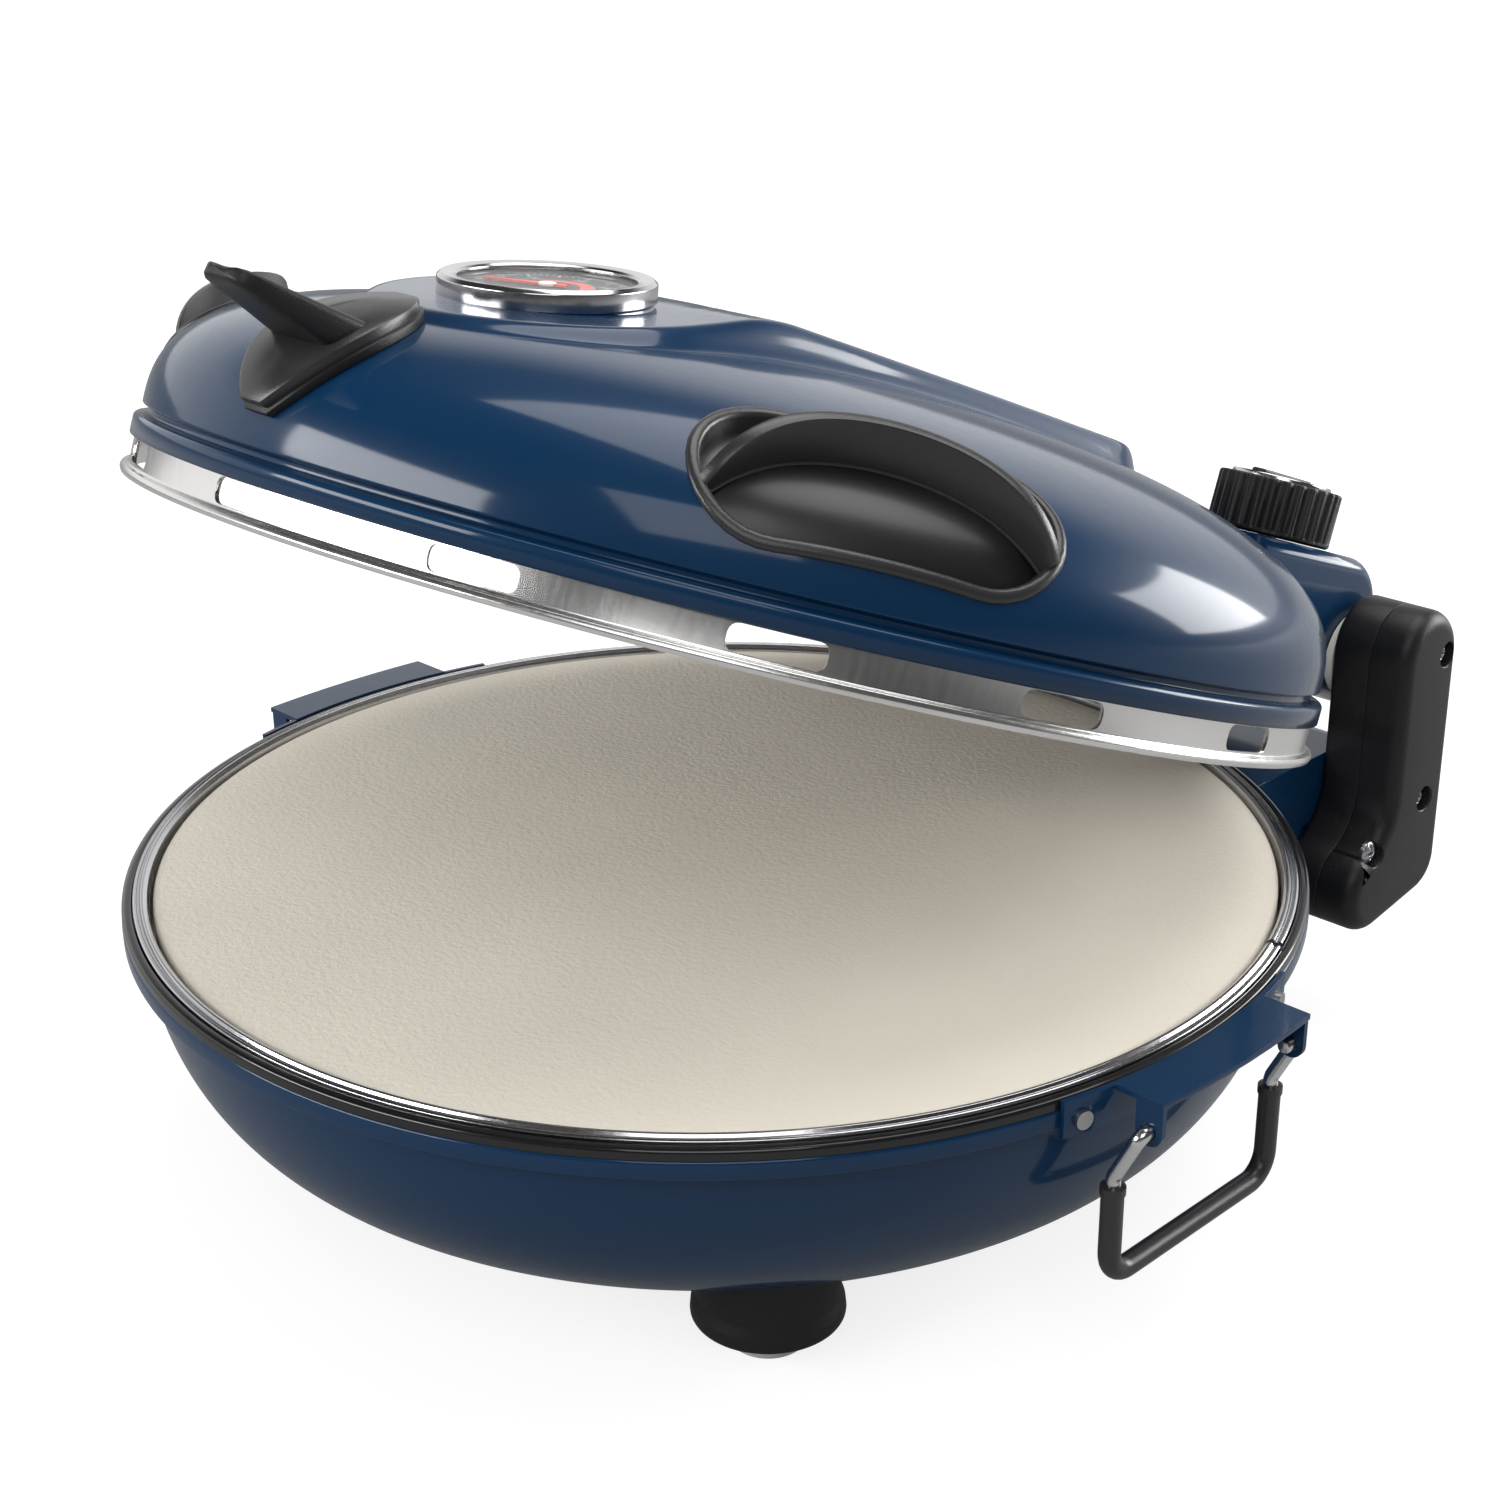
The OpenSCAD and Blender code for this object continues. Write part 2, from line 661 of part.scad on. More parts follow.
module cord_gland() {
    color(black) on_base() translate([0, base_box_rear, gland_z]) rotate([90, 0, 0]) difference() {
        union() {
            translate([0, 0, -3]) cylinder(r = gland_r + 3, h = 3);
            cylinder(r = gland_r, h = housing_wall + eps);
            translate([0, 0, housing_wall]) cylinder(r = gland_r + 1.5, h = 3);
        }
        translate([0, 0, -4]) cylinder(r = gland_bore, h = housing_wall + 8);
    }
}
module base_terminals() {
    foot_z = base_box_low + housing_wall;
    color(cream) on_base()
        translate([-block_w / 2, base_lead_y, foot_z]) cube([block_w, block_d, lower_z - foot_z + 6]);
}

// Lid
module dome_solid(t, from_z = skirt_h) {
    spin(concat([[0, from_z], [dome_r - t, from_z]], dome(dome_r - t, dome_z, dome_h - t)));
}
// Painted shell from the skirt up, moved in by t
module shell_solid(t) {
    groove_r = dome_r - groove_d + sheet_t;
    foot_z = t > 0 ? skirt_h - 1 : skirt_h;
    spin(concat([[0, foot_z], [lid_band_r - t, foot_z], [lid_band_r - t, band_top - t],
                 [groove_r - t, band_top + 0.7 - t / 2], [groove_r - t, band_top + groove_h]],
                dome(dome_r - t, dome_z, dome_h - t)));
}
// Half-space below a plane that passes through (y, z) and falls towards the rear by a
module below_plane(y, z, a) {
    translate([0, y, z]) rotate([-a, 0, 0]) translate([-far / 2, -far / 2, -far]) cube(far);
}
module platform_solid(t) {
    intersection() {
        translate([0, 0, dome_z + 14]) linear_extrude(far) {
            translate([-platform_r + t, -platform_front])
                square([2 * (platform_r - t), platform_front + platform_rear]);
            translate([0, -platform_front]) circle(r = platform_r - t);
            translate([0, platform_rear]) circle(r = platform_r - t);
        }
        below_plane(0, platform_z - t, platform_fall);
        below_plane(-gauge_at, gauge_z - t, -gauge_tilt);
    }
}
// Frame of the thermometer, with its seat at Z = 0
module gauge_local() { translate([0, -gauge_at, gauge_z]) rotate([gauge_tilt, 0, 0]) children(); }
module on_gauge() { on_lid() gauge_local() children(); }
module lid_shell() {
    color(navy) on_lid() difference() {
        union() { shell_solid(0); platform_solid(0); }
        union() { shell_solid(sheet_t); platform_solid(sheet_t); }
        gauge_local() translate([0, 0, -6]) cylinder(r = case_r + hole_gap, h = 20);
        both_sides() window_prism(seat_gap);
        lead_holes(upper_z);
        handle_screw_holes(screw_r + hole_gap);
    }
}
module lid_skirt_ring() {
    mid_z = (2.4 + skirt_h) / 2 + 0.3;
    color(steel) on_lid() difference() {
        spin([[skirt_r - sheet_t, 0.4], [lid_rim_r - 0.4, 0], [lid_rim_r, 0.8], [lid_rim_r, 1.6],
              [lid_rim_r - 0.4, 2.2], [skirt_r, 2.4], [skirt_r, band_top - sheet_t - 0.4],
              [skirt_r - sheet_t, band_top - sheet_t - 0.4]]);
        for (i = [0:slots - 1]) rotate([0, 0, 90 + 360 / slots * (i + 0.5)])
            translate([skirt_r - 5, 0, mid_z]) rotate([0, 90, 0]) {
                cut = slot_l / 2 - slot_h / 2;
                for (s = [-1, 1]) translate([0, s * cut, 0]) cylinder(r = slot_h / 2, h = 10, $fn = 24);
                translate([-slot_h / 2, -cut, 0]) cube([slot_h, 2 * cut, 10]);
            }
    }
}
module lid_reflector() {
    flange_r = skirt_r - sheet_t - seat_gap;
    color(steel) on_lid() difference() {
        spin(concat([[liner_r, liner_z], [flange_r, liner_z], [flange_r, liner_z + tray_t]],
                    dome(liner_r, liner_z + tray_t, liner_h),
                    reverse(dome(liner_r - tray_t, liner_z, liner_h))));
        both_sides() window_prism(seat_gap);
        lead_holes(upper_z);
        gauge_local() translate([0, 0, -far]) cylinder(r = 3 + hole_gap, h = far);
    }
}
module upper_element() { color(steel * 0.7) on_lid() element(upper_z, lid_lead_y); }
module upper_element_clips() {
    clip_w = 8;
    clip_z = upper_z + tube_r + eps;
    inside_r = liner_r - tray_t - 0.02;
    color(steel) on_lid() for (a = [30, 150, 270]) rotate([0, 0, a]) intersection() {
        translate([element_r, -clip_w / 2, clip_z]) {
            translate([-1, 0, 0]) cube([2, clip_w, liner_h]);
            translate([-4, 0, 0]) cube([8, clip_w, 1.2]);
        }
        spin(concat([[0, 0], [inside_r, 0]], dome(inside_r, liner_z, liner_h - 0.02)));
    }
}
module hinge_housing() {
    color(navy) on_lid() difference() {
        union() {
            difference() {
                along_x(-housing_x, housing_x) polygon(housing_outline(0));
                along_x(-housing_x + housing_wall, housing_x - housing_wall)
                    polygon(housing_outline(housing_wall));
            }
            both_sides() intersection() {
                translate([pin_end, pivot_y, pivot_h]) rotate([0, 90, 0])
                    cylinder(r = bush_r + 3, h = housing_x - pin_end);
                along_x(0, housing_x) polygon(housing_outline(0));
            }
        }
        dome_solid(-seat_gap);
        spin([[0, 0], [lid_band_r + seat_gap, 0], [lid_band_r + seat_gap, dome_z], [0, dome_z]]);
        platform_solid(-seat_gap);
        both_sides() translate([pin_end - 1, pivot_y, pivot_h]) rotate([0, 90, 0])
            cylinder(r = bush_r, h = far);
        translate([knob_x, knob_y, 0]) cylinder(r = shaft_r + hole_gap, h = far);
        cover_cut(0);
    }
}
// Panel in the housing's underside, for reaching the terminals
module cover_cut(gap) {
    front = lid_band_r + 5 + gap;
    rear = pivot_y - 13 - gap;
    translate([-cover_x + gap, front, skirt_h + 1])
        cube([2 * (cover_x - gap), rear - front, housing_wall + 1 - gap]);
}
module housing_cover() {
    color(black) on_lid() intersection() {
        cover_cut(seat_gap);
        along_x(-housing_x, housing_x) polygon(housing_outline(0));
    }
}
module bush() {
    translate([pin_end, pivot_y, pivot_h]) rotate([0, 90, 0]) difference() {
        cylinder(r = bush_r, h = housing_x - pin_end);
        translate([0, 0, -1]) cylinder(r = pin_r + pin_gap, h = far);
    }
}
module right_bush() { color(pale) on_lid() bush(); }
module left_bush() { color(pale) on_lid() on_left() bush(); }
module thermostat() {
    color(cream) on_lid() difference() {
        translate([knob_x - 14, knob_y - 10, thermostat_z - 15]) cube([28, 24, 15]);
        translate([knob_x, knob_y, thermostat_z - 10]) cylinder(r = shaft_r + 0.1, h = 11);
    }
}
module lid_terminals() {
    foot_z = skirt_h + 2 + housing_wall;
    color(cream) on_lid()
        translate([-block_w / 2, lid_lead_y, foot_z]) cube([block_w, block_d, upper_z - foot_z + 6]);
}

// Thermometer
module thermometer_case() {
    color(steel) on_gauge() {
        difference() {
            union() {
                translate([0, 0, -case_h]) cylinder(r = case_r, h = case_h + dial_z - dial_t);
                cylinder(r = bezel_r - 0.8, h = 0.6);
            }
            translate([0, 0, -case_h + 1]) cylinder(r = case_r - 1, h = far);
        }
        translate([0, 0, -case_h - probe_l]) cylinder(r = 3, h = probe_l + 0.5);
        translate([0, 0, -case_h]) difference() {
            cylinder(r = 4, h = case_h + dial_z - dial_t);
            translate([0, 0, 2]) cylinder(r = 1, h = far);
        }
    }
}
module thermometer_bezel() {
    in_r = bezel_r - bezel_w;
    seat_r = case_r + 0.1;
    lip_z = bezel_h - pane_t - eps;
    color(steel) on_gauge()
        spin([[bezel_r - 0.6, 0.6], [bezel_r, 1.2], [bezel_r, bezel_h - 1], [bezel_r - 1, bezel_h],
              [in_r + 1, bezel_h], [in_r, bezel_h - 0.8], [in_r, lip_z], [seat_r, lip_z], [seat_r, 0.6]]);
}
module thermometer_dial() {
    color(black) on_gauge() translate([0, 0, dial_z - dial_t]) difference() {
        cylinder(r = case_r - 0.1, h = dial_t);
        translate([0, 0, -1]) cylinder(r = 1.3, h = dial_t + 2);
    }
}
module thermometer_needle() {
    tip = bezel_r - bezel_w - 5;
    color([0.85, 0.2, 0.12]) on_gauge() {
        translate([0, 0, dial_z + 0.3]) {
            cylinder(r = 2, h = 0.8);
            rotate([0, 0, 205]) linear_extrude(0.5)
                polygon([[-5, -0.8], [2, -1], [tip, -0.3], [tip, 0.3], [2, 1], [-5, 0.8]]);
        }
        translate([0, 0, -case_h + 3]) cylinder(r = 0.8, h = case_h + dial_z - 2.5);
    }
}
module thermometer_glass() {
    color([0.8, 0.85, 0.9, 0.25]) on_gauge() translate([0, 0, bezel_h - 2 * pane_t])
        cylinder(r = case_r, h = pane_t - 2 * eps);
}

// Windows. The window's frame has X along it, Y up the dome and Z outwards
module window_local() {
    rotate([0, 0, window_angle - 90]) translate([window_in_r, 0, dome_at(window_in_r)])
        rotate([0, 90 - window_tilt, 0]) rotate([0, 0, 90]) children();
}
module capsule(l, h) {
    for (s = [-1, 1]) translate([s * (l - h) / 2, 0]) circle(d = h);
    square([l - h, h], center = true);
}
// The window's outline, grown by a gap, through the whole wall
module window_prism(gap) {
    window_local() translate([0, 0, -far / 10]) linear_extrude(far / 5)
        capsule(window_l + 2 * gap, window_h + 2 * gap);
}
// Layer of the dome between two depths below its surface
module dome_layer(outer, inner) {
    difference() {
        dome_solid(outer, 0);
        dome_solid(inner, -1);
    }
}
module hood_outline() {
    reach_r = window_l * 0.62;
    top_y = window_h / 2 - frame_wall - 6;
    inside_l = window_l - 2 * frame_wall + 2 * eps;
    intersection() {
        translate([0, top_y - reach_r]) difference() {
            circle(r = reach_r);
            circle(r = reach_r - hood_t);
        }
        square([inside_l, window_h], center = true);
    }
}
module window_frame() {
    difference() {
        intersection() {
            dome_layer(-frame_proud, lid_cavity - 2);
            window_prism(0);
        }
        window_prism(-frame_wall);
    }
    intersection() {
        dome_layer(-hood_reach, glass_depth);
        window_local() translate([0, 0, -20]) linear_extrude(60) hood_outline();
    }
}
module window_glass() {
    intersection() {
        dome_layer(glass_depth + 0.05, glass_depth + 0.05 + glass_t);
        window_prism(-frame_wall);
    }
}
module right_window_frame() { color(black) on_lid() window_frame(); }
module left_window_frame() { color(black) on_lid() on_left() window_frame(); }
module right_window_glass() { color(tint) on_lid() window_glass(); }
module left_window_glass() { color(tint) on_lid() on_left() window_glass(); }

// Front handle
module handle_local() {
    translate([0, -handle_r, dome_at(handle_r)]) rotate([handle_slope, 0, 0]) children();
}
module front_handle() {
    tip = grip_root + (grip_l + 8) * [-cos(grip_rise), sin(grip_rise)];
    side = [sin(grip_rise), cos(grip_rise)];
    color(black) on_lid() difference() {
        union() {
            intersection() {
                dome_layer(-plate_t, 0);
                handle_local() translate([0, 0, -30]) linear_extrude(60) scale_oval(plate_w, plate_l);
            }
            intersection() {
                along_x(-grip_w, grip_w) polygon([grip_root - 6 * side, grip_root + 7 * side,
                    tip + 3 * side, tip + [-1.6, 1], tip - 1.6 * side]);
                linear_extrude(far) translate([0, -handle_r]) grip_plan();
            }
        }
        dome_solid(-seat_gap, 0);
        handle_screw_holes(handle_screw_r + 0.1);
    }
}
module scale_oval(w, l) {
    r = (w * w + l * l) / (4 * w);
    intersection() {
        translate([r - w / 2, 0]) circle(r = r);
        translate([w / 2 - r, 0]) circle(r = r);
        square([w, l - 4], center = true);
    }
}
module grip_plan() {
    tip_w = grip_w - 8;
    polygon([[-grip_w / 2, 14], [-grip_w / 2, -4], [-tip_w / 2, -grip_l + 6], [-tip_w / 2 + 4, -grip_l - 4],
             [tip_w / 2 - 4, -grip_l - 4], [tip_w / 2, -grip_l + 6], [grip_w / 2, -4], [grip_w / 2, 14]]);
}
module handle_screw_holes(r) {
    handle_local() for (s = [-1, 1]) translate([0, s * 15, -20]) cylinder(r = r, h = 22.5);
}
module handle_screws() {
    color(steel) on_lid() handle_local() for (s = [-1, 1]) {
        seat = s > 0 ? -4.5 : -5.8;
        translate([0, s * 15, seat]) cylinder(r = handle_screw_r, h = 2 - seat);
        translate([0, s * 15, seat - 2]) cylinder(r = 2 * handle_screw_r, h = 2);
    }
}

// Control
module control_shaft() {
    color(steel) on_lid() translate([knob_x, knob_y, thermostat_z - 9.5])
        cylinder(r = shaft_r, h = 9.5 + housing_wall + part_gap + 10);
}
module thermostat_knob() {
    foot_z = housing_top + part_gap;
    color(black) on_lid() translate([knob_x, knob_y, foot_z]) difference() {
        cylinder(r = knob_r, h = knob_h);
        translate([0, 0, -1]) cylinder(r = shaft_r, h = 11 + eps);
        for (i = [0:flutes - 1]) rotate([0, 0, 360 / flutes * i]) translate([knob_r + 0.5, 0, 1.5])
            cylinder(r = 1.5, h = knob_h, $fn = 16);
        translate([0, 0, knob_h - 1]) cylinder(r = knob_r - 3.5, h = 2);
    }
}
module knob_cap() {
    color(steel) on_lid() translate([knob_x, knob_y, housing_top + part_gap + knob_h - 1]) {
        cylinder(r = knob_r - 3.7, h = 2.2);
        translate([-2.2, 0, 2.2]) cube([4.4, knob_r - 4.2, 1]);
    }
}

base_pan();
base_trim_ring();
base_rim_band();
base_reflector();
pizza_stone();
lower_element();
lower_element_clips();
front_right_foot();
front_left_foot();
rear_right_foot();
rear_left_foot();
foot_pads();
foot_screws();
right_handle_bracket();
left_handle_bracket();
bracket_screws();
right_bail_wire();
left_bail_wire();
right_bail_sleeve();
left_bail_sleeve();
hinge_base();
right_arm_shell();
left_arm_shell();
right_arm_cover();
left_arm_cover();
arm_screws();
right_hinge_pin();
left_hinge_pin();
right_washer();
left_washer();
cord_gland();
base_terminals();
lid_shell();
lid_skirt_ring();
lid_reflector();
upper_element();
upper_element_clips();
hinge_housing();
housing_cover();
right_bush();
left_bush();
thermostat();
lid_terminals();
thermometer_case();
thermometer_bezel();
thermometer_dial();
thermometer_needle();
thermometer_glass();
right_window_frame();
left_window_frame();
right_window_glass();
left_window_glass();
front_handle();
handle_screws();
control_shaft();
thermostat_knob();
knob_cap();
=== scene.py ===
"""Electric pizza maker: smooth shells, finishes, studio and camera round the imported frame."""
import json
import math

import bmesh
import bpy
from mathutils import Matrix, Vector


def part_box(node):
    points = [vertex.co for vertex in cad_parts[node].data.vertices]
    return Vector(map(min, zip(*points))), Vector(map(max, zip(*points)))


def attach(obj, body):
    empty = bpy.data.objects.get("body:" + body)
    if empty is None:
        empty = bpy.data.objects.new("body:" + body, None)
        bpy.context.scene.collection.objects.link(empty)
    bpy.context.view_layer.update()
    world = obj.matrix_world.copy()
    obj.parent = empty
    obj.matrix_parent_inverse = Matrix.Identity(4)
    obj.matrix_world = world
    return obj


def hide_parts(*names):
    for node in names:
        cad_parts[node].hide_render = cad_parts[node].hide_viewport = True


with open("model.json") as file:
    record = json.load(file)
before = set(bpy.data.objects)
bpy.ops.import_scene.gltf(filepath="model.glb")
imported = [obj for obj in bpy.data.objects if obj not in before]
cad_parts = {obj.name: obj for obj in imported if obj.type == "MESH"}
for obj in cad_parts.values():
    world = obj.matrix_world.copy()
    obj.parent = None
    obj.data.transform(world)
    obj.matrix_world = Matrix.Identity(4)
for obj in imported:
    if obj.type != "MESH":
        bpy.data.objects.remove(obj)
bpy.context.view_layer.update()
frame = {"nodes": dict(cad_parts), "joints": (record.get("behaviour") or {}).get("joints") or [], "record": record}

# ---------------------------------------------------------------- sizes, in millimetres and degrees
MM = 0.001
IMAGE_W = 1500
JOINTS = {joint["name"]: joint for joint in frame["joints"]}
SIDES = (("right", False), ("left", True))


def lowest(node):
    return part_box(node)[0] / MM


def highest(node):
    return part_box(node)[1] / MM


# The base. Sizes that the frame holds are read from it.
STONE_R = highest("pizza_stone").x
STONE_TOP = highest("pizza_stone").z
STONE_LOW = lowest("pizza_stone").z
RIM_Z = highest("base_trim_ring").z
RIM_R = highest("base_pan").x
FLANGE_Z = highest("base_pan").z
PAN_Z = lowest("base_pan").z
PAN_Y = (lowest("pizza_stone").y + highest("pizza_stone").y) / 2
PAN_BOTTOM_R = 122
PAD_H = lowest("front_right_foot").z
SHEET_T = 1.2
ROLL = 5
NECK_R = RIM_R - ROLL
NECK_Z = FLANGE_Z - ROLL
TRAY_R = STONE_R + 1
BAND_IN = RIM_R - 3

# The hinge. PIVOT_Y and PIVOT_H are its axis in the lid's own frame.
PIVOT = Vector(JOINTS["lid_hinge"]["pos_m"]) / MM
OPEN = -JOINTS["lid_hinge"]["range_deg"][0]
LID_GAP = 0.5
PIVOT_Y = PIVOT.y - PAN_Y
PIVOT_H = PIVOT.z - RIM_Z - LID_GAP
ARM_IN = lowest("right_arm_shell").x
ARM_MID = highest("right_arm_shell").x
ARM_OUT = highest("right_arm_cover").x
HOUSING_X = highest("hinge_housing").x
HOUSING_TOP = 54

# The lid, in its own frame: Z up from its rim, Y to the rear. The dome is a superellipse of power SQUARE.
SKIRT_H = 10
LID_RIM_R = highest("lid_skirt_ring").x
SKIRT_R = LID_RIM_R - 2.2
BAND_R = SKIRT_R + 0.2 + SHEET_T
BAND_TOP = 15
DOME_Z = 18.6
DOME_R = BAND_R - 1.6
DOME_H = 50
SQUARE = 2.5
PLATFORM_R = 46
PLATFORM_FRONT = 80
PLATFORM_REAR = 98
PLATFORM_Z = 74
PLATFORM_FALL = 2
GAUGE_Y = -86
GAUGE_Z = PLATFORM_Z - 7.5
GAUGE_TILT = 15
BEZEL_R = 27
BEZEL_IN = BEZEL_R - 5
BEZEL_H = 6.5
DIAL_Z = 3.0
PRINT_Z = DIAL_Z + 0.03
DIAL_FIRST = 205
DIAL_SWEEP = 250
WINDOW_ANGLE = 54
WINDOW_L = 86
WINDOW_H = 41
WINDOW_TILT = 38
WINDOW_R = DOME_R * 0.925
HANDLE_R = DOME_R * 0.91
KNOB = (57, PIVOT_Y - 20)
KNOB_R = 19
KNOB_H = 17

# The right bail, whose ears turn at EAR. The left one is its mirror image.
EAR = Vector(JOINTS["right_bail_swing"]["pos_m"])
EAR_X, EAR_Z = EAR.x / MM, EAR.z / MM
EAR_SPAN = 56
WIRE_R = 1.9
SLEEVE_R = 2.8
BAIL_JOG = 7
JOG_DROP = 14
BAIL_DROP = 42

# Brightness of the surroundings: as light, then in reflections overhead, around and from the floor.
AMBIENT = 0.5
CEILING = 0.04
ROOM = 0.06
FLOOR_SHINE = 0.05
BRIGHT_SIDE = (-0.71, 0.70, 0)

# Frames of the pieces: the base's, the open lid's and the thermometer's.
BASE = Matrix.Translation((0, PAN_Y * MM, 0))
LID = (Matrix.Translation(PIVOT * MM) @ Matrix.Rotation(math.radians(-OPEN), 4, "X")
       @ Matrix.Translation((0, -PIVOT_Y * MM, -PIVOT_H * MM)))
GAUGE = (LID @ Matrix.Translation((0, GAUGE_Y * MM, GAUGE_Z * MM))
         @ Matrix.Rotation(math.radians(GAUGE_TILT), 4, "X"))


# ---------------------------------------------------------------- materials
def material(name, colour, rough, metal=0.0, coat=0.0, vary=0.08, grain=400.0, bump=0.02,
             stretch=(1, 1, 1), spread=0.06, **sockets):
    """Principled finish whose colour, roughness and height follow a fine grain and a slow drift."""
    made = bpy.data.materials.new(name)
    made.use_nodes = True
    nodes, links = made.node_tree.nodes, made.node_tree.links
    shader = nodes["Principled BSDF"]
    place = nodes.new("ShaderNodeTexCoord")
    mapping = nodes.new("ShaderNodeMapping")
    mapping.inputs["Scale"].default_value = stretch
    links.new(place.outputs["Object"], mapping.inputs["Vector"])

    def noise(scale, detail):
        node = nodes.new("ShaderNodeTexNoise")
        node.inputs["Scale"].default_value = scale
        node.inputs["Detail"].default_value = detail
        links.new(mapping.outputs["Vector"], node.inputs["Vector"])
        return node.outputs["Fac"]

    fine, slow = noise(grain, 4), noise(grain / 40, 2)
    tint = nodes.new("ShaderNodeMix")
    tint.data_type = "RGBA"
    links.new(slow, tint.inputs["Factor"])
    tint.inputs["A"].default_value = [c * (1 - vary) for c in colour] + [1]
    tint.inputs["B"].default_value = [min(c * (1 + vary), 1) for c in colour] + [1]
    links.new(tint.outputs["Result"], shader.inputs["Base Color"])
    level = nodes.new("ShaderNodeMapRange")
    level.inputs["To Min"].default_value = max(rough - spread, 0.02)
    level.inputs["To Max"].default_value = rough + spread
    links.new(fine, level.inputs["Value"])
    links.new(level.outputs["Result"], shader.inputs["Roughness"])
    relief = nodes.new("ShaderNodeBump")
    relief.inputs["Strength"].default_value = bump
    relief.inputs["Distance"].default_value = 0.001
    links.new(fine, relief.inputs["Height"])
    links.new(relief.outputs["Normal"], shader.inputs["Normal"])
    shader.inputs["Metallic"].default_value = metal
    shader.inputs["Coat Weight"].default_value = coat
    for socket, value in sockets.items():
        shader.inputs[socket.replace("_", " ")].default_value = value
    return made


FINISH = {
    "navy_enamel": material("navy_enamel", (0.0018, 0.024, 0.068), 0.4, coat=0.8, grain=260, bump=0.012,
                            Coat_Roughness=0.1, Coat_IOR=1.4, Specular_IOR_Level=0.08),
    "black_enamel": material("black_enamel", (0.006, 0.006, 0.007), 0.3, coat=0.7, grain=260, bump=0.012,
                             Coat_Roughness=0.06, Specular_IOR_Level=0.2),
    "bright_trim": material("bright_trim", (0.56, 0.56, 0.58), 0.16, metal=1.0, grain=900, bump=0.01),
    "bright_steel": material("bright_steel", (0.8, 0.79, 0.78), 0.24, metal=1.0, grain=700, bump=0.03,
                             stretch=(1, 1, 0.15)),
    "reflector_steel": material("reflector_steel", (0.62, 0.61, 0.6), 0.3, metal=1.0, grain=500, bump=0.05,
                                stretch=(1, 1, 0.2)),
    "stone": material("stone", (0.74, 0.69, 0.6), 0.85, vary=0.07, grain=700, bump=0.35),
    "element_sheath": material("element_sheath", (0.13, 0.115, 0.1), 0.45, metal=0.8, vary=0.3, bump=0.1),
    "plain_steel": material("plain_steel", (0.7, 0.7, 0.71), 0.2, metal=1.0, grain=1200, bump=0.02),
    "screw_steel": material("screw_steel", (0.42, 0.42, 0.43), 0.3, metal=1.0, grain=1200, bump=0.04),
    "black_plastic": material("black_plastic", (0.008, 0.008, 0.009), 0.42, grain=2200, bump=0.12,
                              Specular_IOR_Level=0.35),
    "pale_pad": material("pale_pad", (0.6, 0.6, 0.58), 0.6, grain=900, bump=0.1),
    "bearing_plastic": material("bearing_plastic", (0.7, 0.68, 0.62), 0.4, grain=900, bump=0.05),
    "terminal_ceramic": material("terminal_ceramic", (0.72, 0.69, 0.62), 0.7, grain=900, bump=0.2),
    "dial_black": material("dial_black", (0.014, 0.014, 0.015), 0.5, grain=2500, bump=0.05),
    "needle_red": material("needle_red", (0.7, 0.05, 0.02), 0.4, grain=2000, bump=0.03),
    "clear_glass": material("clear_glass", (1, 1, 1), 0.04, vary=0, grain=60, bump=0.002, spread=0.02,
                            Transmission_Weight=1.0, IOR=1.03),
    "dark_glass": material("dark_glass", (0.008, 0.008, 0.009), 0.38, coat=0.15, grain=80, bump=0.004,
                           spread=0.03, Coat_Roughness=0.2),
}
PRINT_GREY = material("print_grey", (0.55, 0.55, 0.54), 0.5, grain=2500, bump=0.03)
BLACK_SATIN = material("black_satin", (0.022, 0.022, 0.023), 0.3, grain=2200, bump=0.08)


# ---------------------------------------------------------------- mesh helpers
def add(name, data):
    """A new object in the scene."""
    made = bpy.data.objects.new(name, data)
    bpy.context.scene.collection.objects.link(made)
    return made


def build(name, verts, faces, body, finish, matrix=BASE, sharp=35, replaces=(), mirror=False):
    """A piece from points in millimetres, in the frame of matrix. A cutter rides on no body."""
    if mirror:
        verts = [(-x, y, z) for x, y, z in verts]
    mesh = bpy.data.meshes.new(name)
    mesh.from_pydata([Vector(v) * MM for v in verts], [], faces)
    work = bmesh.new()
    work.from_mesh(mesh)
    bmesh.ops.remove_doubles(work, verts=work.verts, dist=1e-6)
    bmesh.ops.dissolve_degenerate(work, edges=work.edges, dist=1e-7)
    bmesh.ops.recalc_face_normals(work, faces=work.faces)
    work.to_mesh(mesh)
    work.free()
    mesh.shade_smooth()
    mesh.set_sharp_from_angle(angle=math.radians(sharp))
    piece = add(name, mesh)
    piece.matrix_world = matrix
    dress(piece, finish)
    if body:
        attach(piece, body)
    if replaces:
        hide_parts(*replaces)
    return piece


def dress(piece, finish):
    """Gives the piece a finish, which is a record's slot by name or a material of its own."""
    piece.data.materials.clear()
    if isinstance(finish, str):
        piece.data.materials.append(FINISH[finish])
    else:
        piece.data.materials.append(finish)


def made_mesh(piece):
    """The mesh that the piece's modifiers or its text make."""
    bpy.context.view_layer.update()
    graph = bpy.context.evaluated_depsgraph_get()
    return bpy.data.meshes.new_from_object(piece.evaluated_get(graph), preserve_all_data_layers=True,
                                           depsgraph=graph)


def settle(piece):
    """Applies the piece's modifiers to its mesh."""
    made = made_mesh(piece)
    piece.modifiers.clear()
    piece.data = made


